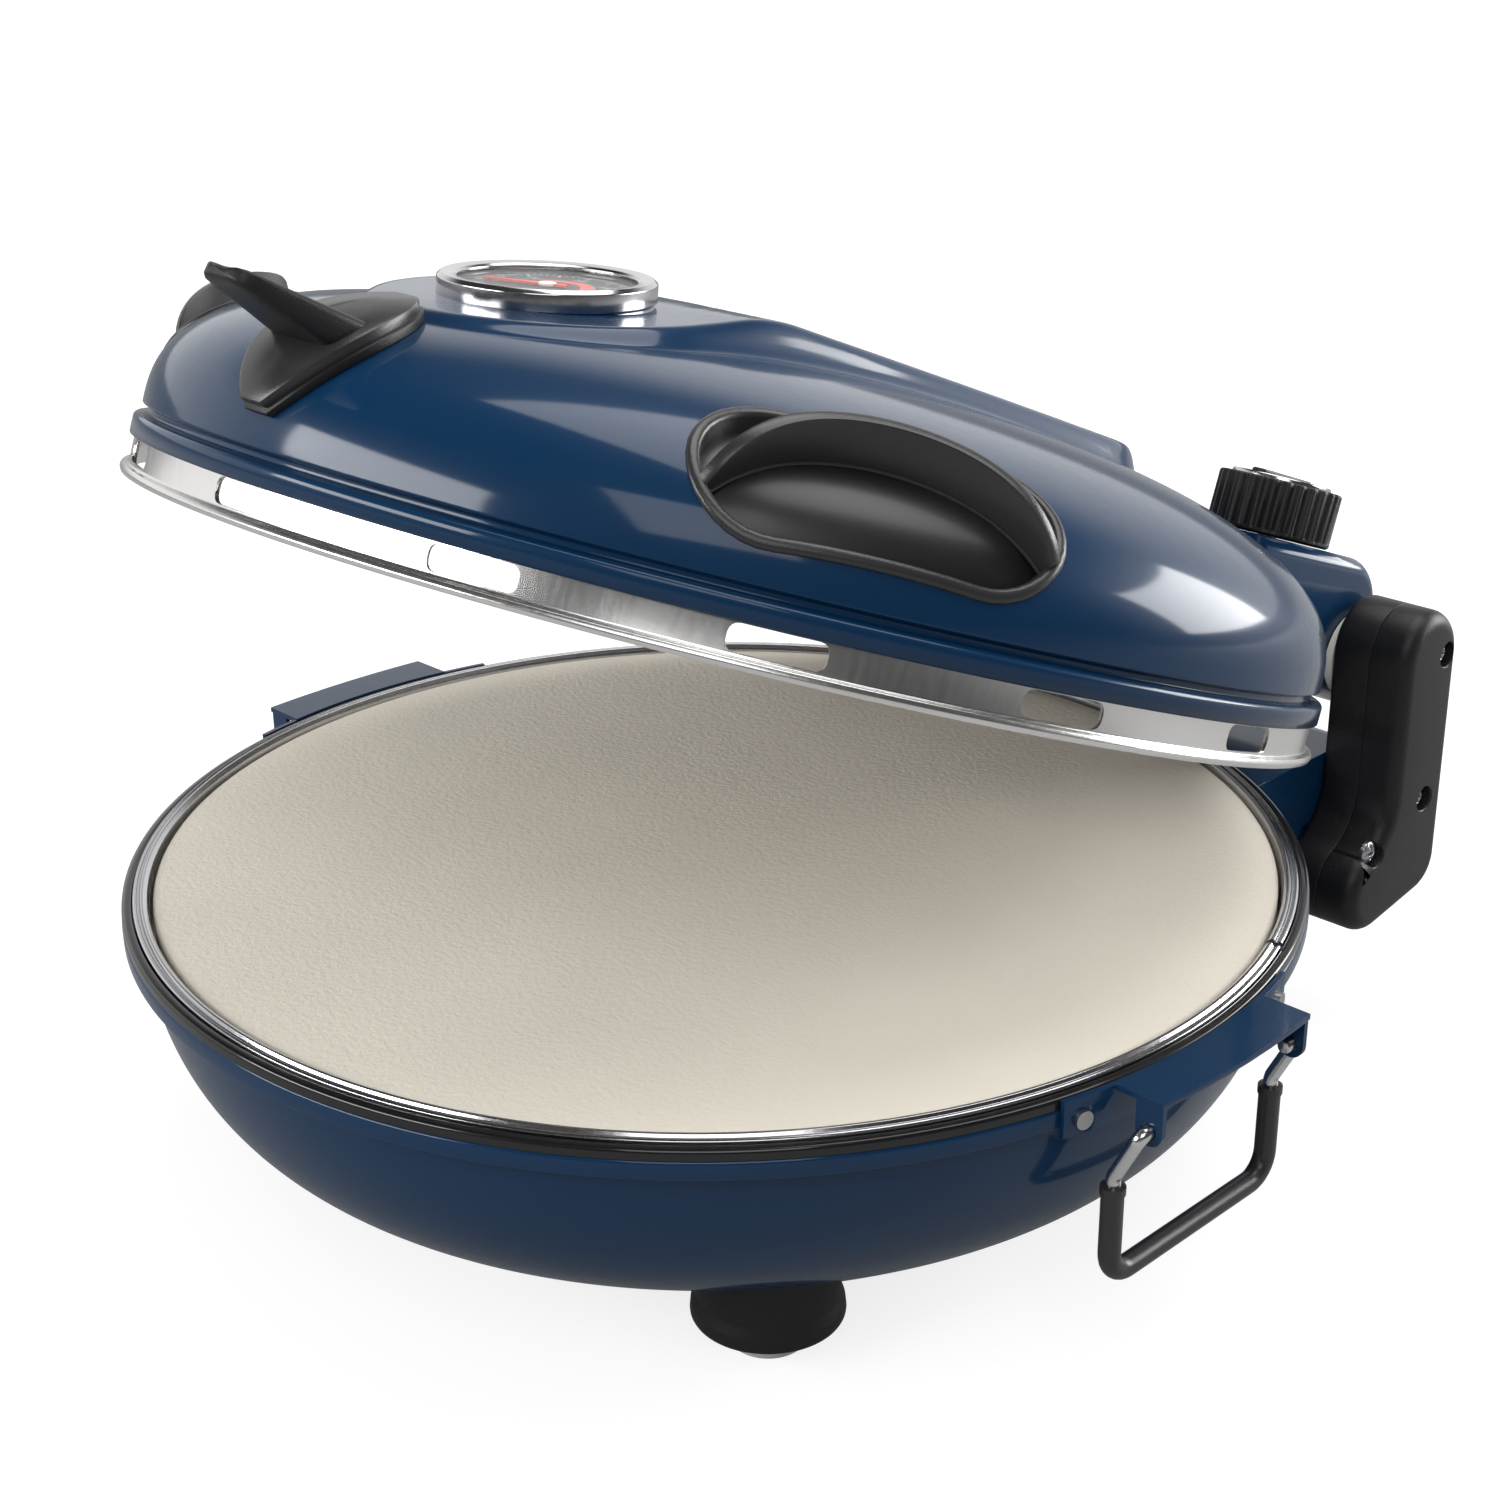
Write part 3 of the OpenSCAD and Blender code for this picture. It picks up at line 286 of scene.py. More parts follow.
def cut(piece, cutter, keep_normals=True):
    """Takes the cutter out of the piece. What is left of a smooth surface can keep its normals."""
    whole, reach = None, 0.05 * MM
    if keep_normals:
        whole = add("whole", piece.data.copy())
        whole.matrix_world = piece.matrix_world.copy()
    hole = piece.modifiers.new("hole", "BOOLEAN")
    hole.object, hole.solver = cutter, "EXACT"
    settle(piece)
    if whole:
        carry = piece.modifiers.new("normals", "DATA_TRANSFER")
        carry.object, carry.use_loop_data = whole, True
        carry.data_types_loops = {"CUSTOM_NORMAL"}
        carry.loop_mapping = "POLYINTERP_NEAREST"
        carry.use_max_distance, carry.max_distance = True, reach
        settle(piece)
        bpy.data.objects.remove(whole)
    bpy.data.objects.remove(cutter)


def rounded(points, closed=True, steps=4):
    """Points (a, b) or (a, b, radius), where a radius turns the corner into a curve."""
    out, count = [], len(points)
    share_of_edge, least_bulge, straight = 0.49, 0.85, 1.55
    for i, point in enumerate(points):
        here = Vector(point[:2])
        inner = closed or 0 < i < count - 1
        if len(point) < 3 or not inner:
            out.append(tuple(here))
            continue
        before = Vector(points[i - 1][:2]) - here
        after = Vector(points[(i + 1) % count][:2]) - here
        half = before.angle(after) / 2
        reach = min(point[2] / math.tan(half), share_of_edge * before.length, share_of_edge * after.length)
        start, end = here + before.normalized() * reach, here + after.normalized() * reach
        bulge = max(1 / (1 + math.sin(half)), least_bulge) if half < straight else 1
        for k in range(steps + 1):
            t = k / steps
            chord = start.lerp(end, t)
            curve = start * (1 - t) ** 2 + here * 2 * t * (1 - t) + end * t ** 2
            out.append(tuple(chord.lerp(curve, bulge)))
    return out


def arc(centre, r, start, end, steps):
    """Points of a circle round centre, from one angle in degrees to another."""
    turns = [math.radians(start + (end - start) * i / steps) for i in range(steps + 1)]
    return [(centre[0] + r * math.cos(a), centre[1] + r * math.sin(a)) for a in turns]


def bowl(r0, z0, r1, z1):
    """Quarter ellipse from a floor point out and up to a wall point."""
    steps = 40
    turn = [math.pi / 2 * i / steps for i in range(steps + 1)]
    return [(r0 + (r1 - r0) * math.sin(t), z1 - (z1 - z0) * math.cos(t)) for t in turn]


def grid(rows, close=False):
    """Faces over rows of points of one length."""
    verts, faces, width = [], [], len(rows[0])
    for row in rows:
        verts += row
    for i in range(len(rows) - 1):
        for k in range(width if close else width - 1):
            n = (k + 1) % width
            faces.append((i * width + k, i * width + n, (i + 1) * width + n, (i + 1) * width + k))
    return verts, faces


def capped(rows):
    """A loft over closed rows of points, with a face at each end."""
    verts, faces = grid(rows, close=True)
    width = len(rows[0])
    last = len(verts) - width
    faces += [tuple(reversed(range(width))), tuple(last + i for i in range(width))]
    return verts, faces


def merge(parts):
    """Several (verts, faces) as one."""
    verts, faces = [], []
    for more, their in parts:
        faces += [tuple(len(verts) + i for i in face) for face in their]
        verts += more
    return verts, faces


def lathe(profile, segments, start=0.0, sweep=360.0):
    """Vertices and faces of a closed profile (r, z) turned about Z."""
    full = sweep >= 360
    turns = segments if full else segments + 1
    verts, faces, rows = [], [], len(profile)
    for j in range(turns):
        a = math.radians(start + sweep * j / segments)
        verts += [(r * math.cos(a), r * math.sin(a), z) for r, z in profile]
    for j in range(segments):
        k = (j + 1) % turns
        for i in range(rows):
            n = (i + 1) % rows
            faces.append((j * rows + i, k * rows + i, k * rows + n, j * rows + n))
    if not full:
        faces += [tuple(range(rows)), tuple((turns - 1) * rows + i for i in reversed(range(rows)))]
    return verts, faces


def inset(outline, d):
    """A closed outline moved in by d along its own normals."""
    area = sum(a[0] * b[1] - b[0] * a[1] for a, b in zip(outline, outline[1:] + outline[:1]))
    side = 1 if area > 0 else -1
    out, count = [], len(outline)
    for i in range(count):
        p, q, s = (Vector(outline[k % count]) for k in (i - 1, i, i + 1))
        a, b = (q - p), (s - q)
        if a.length < 1e-6 or b.length < 1e-6:
            a = b = s - p
        a, b = a.normalized(), b.normalized()
        normal = Vector((-(a.y + b.y), a.x + b.x))
        normal = normal.normalized() if normal.length > 1e-6 else Vector((-a.y, a.x))
        grow = 1 / max(normal.dot(Vector((-a.y, a.x))), 0.5)
        out.append(tuple(q + normal * (side * d * grow)))
    return out


def slab(outline, levels, place):
    """Closed loft of one outline through (height, inset) levels, laid out by place(a, b, height)."""
    return capped([[place(a, b, height) for a, b in inset(outline, d)] for height, d in levels])


def edge_levels(low, high, r_low, r_high, steps=4):
    """Levels of a slab with rounded edges."""
    quarter = [math.pi / 2 * i / steps for i in range(steps + 1)]
    return ([(low + r_low * (1 - math.cos(t)), r_low * (1 - math.sin(t))) for t in quarter] +
            [(high - r_high * (1 - math.sin(t)), r_high * (1 - math.cos(t))) for t in quarter])


def across(y, z, x):
    """Lays an outline in Y and Z out along X."""
    return (x, y, z)


def upward(x, y, z):
    """Lays an outline in X and Y out along Z."""
    return (x, y, z)


def fillet_path(points, radii, steps=8):
    """A polyline in space with round bends."""
    points = [Vector(p) for p in points]
    out = [points[0]]
    for here, before, after, r in zip(points[1:-1], points, points[2:], radii):
        a, b = (before - here).normalized(), (after - here).normalized()
        half = a.angle(b) / 2
        reach = r / math.tan(half)
        centre = here + (a + b).normalized() * (r / math.sin(half))
        start, end = here + a * reach - centre, here + b * reach - centre
        swing = start.angle(end)
        for k in range(steps + 1):
            t = k / steps
            out.append(centre + (start * math.sin((1 - t) * swing) + end * math.sin(t * swing))
                       / math.sin(swing))
    return out + [points[-1]]


def tube(path, radius, sides=20, collar=0.0):
    """A round bar along a path, with rounded ends that may swell into a collar."""
    path = [Vector(p) for p in path]
    # Each end as (distance along the path, radius).
    if collar:
        ends = [(-0.001, radius * 0.8), (0.3, radius + collar), (2.4, radius + collar), (3.2, radius)]
    else:
        ends = [(-0.001, radius * 0.55), (radius * 0.12, radius * 0.85), (radius * 0.45, radius)]
    first, last = (path[1] - path[0]).normalized(), (path[-2] - path[-1]).normalized()
    stations = [(path[0] + first * d, r) for d, r in ends]
    stations += [(p, radius) for p in path[1:-1]]
    stations += [(path[-1] + last * d, r) for d, r in reversed(ends)]
    rows, side = [], first.orthogonal().normalized()
    turns = [2 * math.pi * k / sides for k in range(sides)]
    for i, (p, r) in enumerate(stations):
        ahead = stations[min(i + 1, len(stations) - 1)][0] - stations[max(i - 1, 0)][0]
        ahead.normalize()
        side = (side - ahead * side.dot(ahead)).normalized()
        up = ahead.cross(side)
        rows.append([tuple(p + (side * math.cos(t) + up * math.sin(t)) * r) for t in turns])
    return capped(rows)


def inside_end(outside, low, high):
    """The last value inside between low, which is inside, and high, which is outside."""
    for _ in range(40):
        middle = (low + high) / 2
        if outside(middle) > 0:
            high = middle
        else:
            low = middle
    return low


# ---------------------------------------------------------------- the dome
def dome_at(r):
    """Height of the painted dome at a radius."""
    return DOME_Z + DOME_H * max(1 - (r / DOME_R) ** SQUARE, 0) ** (1 / SQUARE)


def dome_curve(u):
    """Radius and height on the dome, from its foot at u = 0 to its top at a quarter turn."""
    return DOME_R * math.cos(u) ** (2 / SQUARE), DOME_Z + DOME_H * math.sin(u) ** (2 / SQUARE)


def dome_normal(x, y, z):
    """The way out of the dome at a point on it."""
    r = math.hypot(x, y)
    out = (r / DOME_R) ** (SQUARE - 1) / DOME_R
    up = max((z - DOME_Z) / DOME_H, 0) ** (SQUARE - 1) / DOME_H
    return Vector((x / r * out, y / r * out, up)).normalized()


def hit_dome(start, ray, proud):
    """The point where a line from start along ray meets the dome, moved out by proud."""
    def outside(t):
        p = start + ray * t
        r, h = math.hypot(p.x, p.y), max(p.z - DOME_Z, 0)
        return (r / DOME_R) ** SQUARE + (h / DOME_H) ** SQUARE - 1
    p = start + ray * inside_end(outside, -40.0, 40.0)
    return p + dome_normal(*p) * proud


def soft_max(a, b, k):
    """The larger of two heights, with a blend about k wide where they cross."""
    h = max(k - abs(a - b), 0) / k
    return max(a, b) + h * h * k / 4


def soft_min(a, b, k):
    """The smaller of two heights, blended in the same way."""
    return -soft_max(-a, -b, k)


def off_platform(x, y):
    """Distance from the platform's outline in plan, negative inside."""
    return math.hypot(x, max(y - PLATFORM_REAR, -y - PLATFORM_FRONT, 0)) - PLATFORM_R


def lid_height(x, y):
    """Height of the painted lid: the dome, with the platform blended into it."""
    crease, shoulder, foot = 3, 5, 7
    wall_slope, wall_out = 2.2, 1.5
    dome = dome_at(math.hypot(x, y))
    top = PLATFORM_Z - y * math.tan(math.radians(PLATFORM_FALL))
    front = GAUGE_Z + (y - GAUGE_Y) * math.tan(math.radians(GAUGE_TILT))
    top = soft_min(top, front, crease)
    wall = dome + (wall_out - off_platform(x, y)) * wall_slope
    return soft_max(dome, soft_min(top, wall, shoulder), foot)


def outline_radius(a):
    """Radius of the platform's outline in the direction a."""
    return inside_end(lambda r: off_platform(r * math.cos(a), r * math.sin(a)), 0.0, DOME_R)


# ---------------------------------------------------------------- base
def make_pan():
    lip = rounded([(NECK_R, NECK_Z), (NECK_R, FLANGE_Z - SHEET_T, 0.8),
                   (RIM_R - SHEET_T, FLANGE_Z - SHEET_T, 0.4), (RIM_R - SHEET_T, NECK_Z, 0.3),
                   (RIM_R, NECK_Z, 0.4), (RIM_R, FLANGE_Z, 1.2), (NECK_R - SHEET_T, FLANGE_Z, 0.8),
                   (NECK_R - SHEET_T, NECK_Z)], closed=False)
    outer = bowl(PAN_BOTTOM_R, PAN_Z, NECK_R, NECK_Z)
    inner = bowl(PAN_BOTTOM_R, PAN_Z + SHEET_T, NECK_R - SHEET_T, NECK_Z)
    profile = [(0, PAN_Z)] + outer + lip[1:-1] + list(reversed(inner)) + [(0, PAN_Z + SHEET_T)]
    build("pan", *lathe(profile, 256), "base", "navy_enamel", replaces=["base_pan"])


def make_rim():
    top, outer = RIM_Z - 1.2, RIM_R - 0.2
    band = rounded([(BAND_IN, FLANGE_Z), (outer, FLANGE_Z), (outer, top, 1.2), (BAND_IN, top, 0.7)])
    build("rim_band", *lathe(band, 256), "base", "black_enamel", replaces=["base_rim_band"])
    low, outer = FLANGE_Z + 0.8, BAND_IN - 0.2
    ring = rounded([(TRAY_R, low), (TRAY_R + 0.4, RIM_Z - 0.9, 0.4), (TRAY_R + 1.4, RIM_Z, 0.5),
                    (TRAY_R + 2.1, RIM_Z, 0.4), (TRAY_R + 2.6, RIM_Z - 0.9, 0.3),
                    (TRAY_R + 3.1, RIM_Z - 0.9, 0.3), (TRAY_R + 3.6, RIM_Z - 0.2, 0.4),
                    (outer, RIM_Z - 0.8, 0.3), (outer, low)])
    gap_at, gap = 20, 0.8
    build("trim_ring", *lathe(ring, 256, gap_at + gap / 2, 360 - gap), "base", "bright_trim", sharp=50,
          replaces=["base_trim_ring"])
    stone = rounded([(0, STONE_LOW), (STONE_R, STONE_LOW, 1), (STONE_R, STONE_TOP, 1.2), (0, STONE_TOP)])
    build("stone", *lathe(stone, 256), "base", "stone", replaces=["pizza_stone"])


def make_feet():
    pad_r, hole_r, foot_r, neck_r = 11, 11.4, 20, 18.4
    low, recess, top, clear = PAD_H, PAD_H + 2, PAN_Z + 4, 0.1
    pad = rounded([(0, 0), (pad_r - 0.8, 0, 0.8), (pad_r, 2, 0.8), (pad_r, PAD_H + 1), (0, PAD_H + 1)])
    foot = rounded([(hole_r, recess), (hole_r, low, 0.4), (foot_r, low, 1.4), (foot_r - 0.4, low + 4, 3),
                    (neck_r + 0.2, low + 7, 4), (neck_r, top), (0, top), (0, recess)])
    under = ([(0, PAN_Z - clear)] + bowl(PAN_BOTTOM_R, PAN_Z - clear, NECK_R + clear, NECK_Z) +
             [(0, NECK_Z)])
    pads = []
    for node in ("front_right_foot", "front_left_foot", "rear_right_foot", "rear_left_foot"):
        middle = (lowest(node) + highest(node)) / 2
        place = Matrix.Translation((middle.x * MM, middle.y * MM, 0))
        shell = build(node + "_shell", *lathe(foot, 96), "base", "black_plastic", place, replaces=[node])
        cut(shell, build("pan_cutter", *lathe(under, 256), None, "black_plastic"))
        verts, faces = lathe(pad, 64)
        pads.append(([(x + middle.x, y + middle.y, z) for x, y, z in verts], faces))
    build("pads", *merge(pads), "base", "pale_pad", Matrix.Identity(4), replaces=["foot_pads"])


def make_bails():
    leg_x, leg_y, end_y = EAR_X - BAIL_JOG, EAR_SPAN / 2 + 4.25, 25
    ear_bend, jog_bend, corner_bend = 2.6, 5, 7
    corner_z, low, sleeve_top = EAR_Z - JOG_DROP, EAR_Z - BAIL_DROP, EAR_Z - JOG_DROP - 2
    half = [(EAR_X, end_y, EAR_Z), (EAR_X, leg_y, EAR_Z), (leg_x, leg_y, corner_z), (leg_x, leg_y, low)]
    wire = fillet_path(half + [(x, -y, z) for x, y, z in reversed(half)],
                       [ear_bend, jog_bend, corner_bend, corner_bend, jog_bend, ear_bend])
    sleeve = fillet_path([(leg_x, leg_y, sleeve_top), (leg_x, leg_y, low), (leg_x, -leg_y, low),
                          (leg_x, -leg_y, sleeve_top)], [corner_bend, corner_bend])
    for side, mirror in SIDES:
        body = side + "_bail"
        build(side + "_wire", *tube(wire, WIRE_R), body, "plain_steel", mirror=mirror,
              replaces=[side + "_bail_wire"])
        build(side + "_sleeve", *tube(sleeve, SLEEVE_R, collar=0.35), body, BLACK_SATIN, mirror=mirror,
              replaces=[side + "_bail_sleeve"])


def arm_outline():
    """The hinge arm's side view, from round its hinge end down to the hook under the pan's rim."""
    top = (PIVOT_Y + 2, PIVOT.z + 4)
    neck = (PIVOT_Y - 32, RIM_Z - 10.8)
    hook = (PIVOT_Y - 19, RIM_Z - 40)
    heel = (PIVOT_Y + 5, RIM_Z - 37)
    return (arc(top, 15, 0, 180, 28) + arc(neck, 19, 0, -66, 14) + arc(hook, 13, 114, 279, 28) +
            arc(heel, 12, 279, 360, 14))


ARM_SCREWS = [(PIVOT_Y + 10, PIVOT.z + 4), (PIVOT_Y + 5, RIM_Z - 16), (PIVOT_Y - 20, RIM_Z - 27)]


def turned(profile, place):
    """A lathe whose axis is laid out by place(x, y, z)."""
    verts, faces = lathe(profile, 48)
    return [place(*v) for v in verts], faces


def cross_cutter(place):
    """A cross-shaped driver recess."""
    r, w, depth = 1.9, 0.5, 1.5
    outline = [(w, w), (w, r), (-w, r), (-w, w), (-r, w), (-r, -w), (-w, -w), (-w, -r), (w, -r), (w, -w),
               (r, -w), (r, w)]
    return slab(outline, [(-depth, 0), (2, 0)], place)


def make_arms():
    outline = arm_outline()
    pocket = rounded([(0, -4), (3.9, -4), (3.9, -0.6, 0.3), (4.7, 0.4), (4.7, 3), (0, 3)])
    for side, mirror in SIDES:
        build(side + "_arm_inner", *slab(outline, edge_levels(ARM_IN, ARM_MID, 2, 0.4), across), "base",
              "black_plastic", mirror=mirror, replaces=[side + "_arm_shell"])
        outer = build(side + "_arm_outer", *slab(outline, edge_levels(ARM_MID, ARM_OUT, 0.4, 5, 7), across),
                      "base", "black_plastic", mirror=mirror, replaces=[side + "_arm_cover"])
        pockets = merge([turned(pocket, lambda x, y, z, p=p: (ARM_OUT + z, p[0] + x, p[1] + y))
                         for p in ARM_SCREWS])
        cut(outer, build("pockets", *pockets, None, "black_plastic", mirror=mirror))
    sunk, head_h = 4, 2.2
    head = rounded([(0, -0.2), (3.6, -0.2), (3.6, 1.0, 0.5), (0, head_h)])
    head.insert(-1, (1.8, head_h - 0.3))
    heads, crosses = [], []
    for sign in (-1, 1):
        for p in ARM_SCREWS:
            def place(x, y, z, p=p, sign=sign):
                return (sign * (ARM_OUT - sunk + z), p[0] + x, p[1] + y)
            heads.append(turned(head, place))
            crosses.append(cross_cutter(lambda x, y, z, place=place: place(x, y, z + head_h)))
    screws = build("arm_screw_heads", *merge(heads), "base", "screw_steel", replaces=["arm_screws"])
    for cross in crosses:
        cut(screws, build("cross", *cross, None, "screw_steel"), keep_normals=False)


# ---------------------------------------------------------------- lid
WINDOW = (Matrix.Rotation(math.radians(WINDOW_ANGLE - 90), 4, "Z")
          @ Matrix.Translation((WINDOW_R, 0, dome_at(WINDOW_R)))
          @ Matrix.Rotation(math.radians(90 - WINDOW_TILT), 4, "Y")
          @ Matrix.Rotation(math.pi / 2, 4, "Z"))


def capsule(length, height):
    """Outline of a rectangle with round ends."""
    half, r, bend, run = (length - height) / 2, height / 2, 18, 12
    right = [(half + x, y) for x, y in arc((0, 0), r, -90, 90, bend)]
    left = [(-half + x, y) for x, y in arc((0, 0), r, 90, 270, bend)]
    top = [(half - 2 * half * k / run, r) for k in range(1, run)]
    bottom = [(-half + 2 * half * k / run, -r) for k in range(1, run)]
    return right + top + left + bottom


def on_window(x, y, proud):
    """A point over the dome, by the window's own X and Y."""
    ray = WINDOW.to_3x3() @ Vector((0, 0, 1))
    return tuple(hit_dome(WINDOW @ Vector((x, y, 0)), ray, proud))


def make_lid_shell():
    """Columns of points from the middle out: platform, its edge, the dome's wall and the foot band."""
    columns, top_rings, edge_rings, wall_rings = 360, 9, 21, 44
    edge_in, edge_step, least_facing, groove = 9, 0.9, 0.35, DOME_R - 2.2
    foot = rounded([(DOME_R, DOME_Z), (DOME_R, 18, 0.5), (groove, 17.2, 0.5), (groove, BAND_TOP + 0.7, 0.5),
                    (BAND_R, BAND_TOP, 1.2), (BAND_R, SKIRT_H)], closed=False)
    rows = []
    for j in range(columns):
        a = 2 * math.pi * j / columns
        c, s = math.cos(a), math.sin(a)
        edge = outline_radius(a)
        over = max(abs(edge * s) - (PLATFORM_REAR if s > 0 else PLATFORM_FRONT), 0)
        facing = max((edge * c * c * edge + over * abs(edge * s)) / (PLATFORM_R * edge), least_facing)
        radii = [(edge - edge_in / facing) * k / top_rings for k in range(top_rings)]
        radii += [edge + (edge_step * k - edge_in) / facing for k in range(edge_rings)]
        turn = math.acos(min(radii[-1] / DOME_R, 1) ** (SQUARE / 2))
        wall = [dome_curve(turn * (1 - k / wall_rings)) for k in range(1, wall_rings + 1)]
        row = [(r * c, r * s, lid_height(r * c, r * s)) for r in radii]
        rows.append(row + [(r * c, r * s, z) for r, z in wall + foot[1:]])
    rows.append(rows[0])
    shell = build("lid_shell_smooth", *grid(rows), None, "navy_enamel", LID, sharp=60,
                  replaces=["lid_shell"])
    if sum(p.normal.z * p.area for p in shell.data.polygons) < 0:
        shell.data.flip_normals()
    thick = shell.modifiers.new("sheet", "SOLIDIFY")
    thick.thickness, thick.offset = SHEET_T * MM, -1
    settle(shell)
    outline = capsule(WINDOW_L - 2, WINDOW_H - 2)
    opening = slab(outline, [(-24, 0), (24, 0)], lambda x, y, z: tuple(WINDOW @ Vector((x, y, z))))
    for mirror in (False, True):
        cut(shell, build("opening", *opening, None, "navy_enamel", LID, mirror=mirror))
    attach(shell, "lid")


def make_skirt():
    lip_r = LID_RIM_R - 0.5
    profile = rounded([(SKIRT_R - 1.2, 0.4, 0.2), (lip_r, 0, 0.3), (LID_RIM_R, 1.2, 0.8), (lip_r, 2.3, 0.4),
                       (SKIRT_R, 2.5, 0.8), (SKIRT_R, 13.4), (SKIRT_R - 1.2, 13.4)])
    skirt = build("skirt", *lathe(profile, 240), "lid", "bright_steel", LID, replaces=["lid_skirt_ring"])
    count, mid_z, half_l, half_h, corner, depth = 15, 6.5, 11, 3.2, 2.4, 5
    outline = rounded([(-half_l, -half_h, corner), (half_l, -half_h, corner), (half_l, half_h, corner),
                       (-half_l, half_h, corner)])
    slots = []
    for k in range(count):
        a = math.radians(90 + 360 / count * (k + 0.5))
        radial, along = Vector((math.cos(a), math.sin(a), 0)), Vector((-math.sin(a), math.cos(a), 0))

        def place(x, y, z, radial=radial, along=along):
            return tuple(radial * (SKIRT_R + z) + along * x + Vector((0, 0, mid_z + y)))
        slots.append(slab(outline, [(-depth, 0), (depth, 0)], place))
    cut(skirt, build("slots", *merge(slots), None, "bright_steel", LID))


def make_housing():
    """The housing, cut by the dome and the platform, into which it sinks a little."""
    front, low, hinge_r, top_r, sunk = DOME_R - 34, SKIRT_H + 2, 17, 18, 0.5
    outline = ([(front, low), (PIVOT_Y - 12, low)] + arc((PIVOT_Y, PIVOT_H), hinge_r, -70, 10, 14) +
               arc((PIVOT_Y - 6, HOUSING_TOP - top_r), top_r, 10, 90, 20) + [(front, HOUSING_TOP)])
    housing = build("housing", *slab(outline, edge_levels(-HOUSING_X, HOUSING_X, 5, 5, 7), across), "lid",
                    "navy_enamel", LID, replaces=["hinge_housing"])
    inside = [(0, -5), (BAND_R + 0.2, -5), (BAND_R + 0.2, DOME_Z - sunk), (DOME_R - sunk, DOME_Z)]
    for u in [math.pi / 2 * k / 40 for k in range(1, 40)]:
        r, z = dome_curve(u)
        inside.append((r - sunk * math.cos(u), z - sunk))
    inside.append((0, DOME_Z + DOME_H - sunk))
    cut(housing, build("dome_cutter", *lathe(inside, 256), None, "navy_enamel", LID))
    ahead = [(-PLATFORM_R, 0), (PLATFORM_R, 0)] + arc((0, PLATFORM_REAR), PLATFORM_R, 0, 180, 48)
    platform = slab(ahead, [(20, 1), (PLATFORM_Z, 1)], upward)
    cut(housing, build("platform_cutter", *platform, None, "navy_enamel", LID))


def window_rim():
    """The rim's section, as (distance in from its outline, height over the dome), run round it."""
    section = [(1.2, -11), (1.2, -0.4), (0, -0.4), (0, 0.3), (0.3, 0.8), (1.0, 1.1), (2.2, 1.0),
               (2.8, 0.5), (3.0, -0.3), (3.0, -11)]
    rings = [[on_window(x, y, h) for x, y in inset(capsule(WINDOW_L, WINDOW_H), d)] for d, h in section]
    return grid(rings + rings[:1], close=True)


def window_pane():
    """Two crowned discs: the glass's face and its back."""
    length, height, crown, rings = WINDOW_L - 5.6, WINDOW_H - 5.6, 1.6, 14
    faces = []
    for depth, order in ((-3.6, 1), (-6.6, -1)):
        discs = []
        for k in range(rings + 1):
            share = math.sin(math.pi / 2 * k / rings)
            ring = capsule(length - height * (1 - share), height * share)
            discs.append([on_window(x, y, depth + crown * (1 - share ** 2)) for x, y in ring])
        faces.append(grid(discs[::order], close=True))
    return merge(faces)


def window_hood():
    """The hood over the window's upper edge, proud in its middle and low at its ends, and its bead."""
    reach, top_y, thick, root = WINDOW_L * 0.62, WINDOW_H / 2 - 9, 3, -4
    crest, rear_end, front_end, fullness = 9.2, 2.2, 0.6, 5
    bead_r, bead_in, bead_z, steps = 0.55, thick + 0.3, -2.2, 48
    swing = math.asin((WINDOW_L / 2 - 2.6) / reach)

    def on_hood(t, d, h):
        r = reach + d
        return on_window(r * math.sin(t), top_y - reach + r * math.cos(t), h)

    rows, bead = [], []
    for k in range(steps + 1):
        t = -swing + 2 * swing * k / steps
        drop = (abs(t) / swing) ** fullness
        proud = crest * (1 - drop) + (rear_end if t > 0 else front_end) * drop
        section = [(0, root), (0, proud - 0.9), (-0.25, proud - 0.25), (-0.9, proud), (-2.1, proud),
                   (-2.75, proud - 0.25), (-thick, proud - 0.9), (-thick, root)]
        rows.append([on_hood(t, d, h) for d, h in section])
        bead.append(on_hood(t, -bead_in, bead_z))
    return capped(rows), tube(bead, bead_r, 10)


def make_windows():
    rim, pane, (hood, bead) = window_rim(), window_pane(), window_hood()
    for side, mirror in SIDES:
        build(side + "_window_rim", *rim, "lid", BLACK_SATIN, LID, mirror=mirror, sharp=50,
              replaces=[side + "_window_frame"])
        build(side + "_pane", *pane, "lid", "dark_glass", LID, mirror=mirror,
              replaces=[side + "_window_glass"])
        build(side + "_hood", *hood, "lid", BLACK_SATIN, LID, mirror=mirror, sharp=40)
        build(side + "_hood_bead", *bead, "lid", BLACK_SATIN, LID, mirror=mirror)


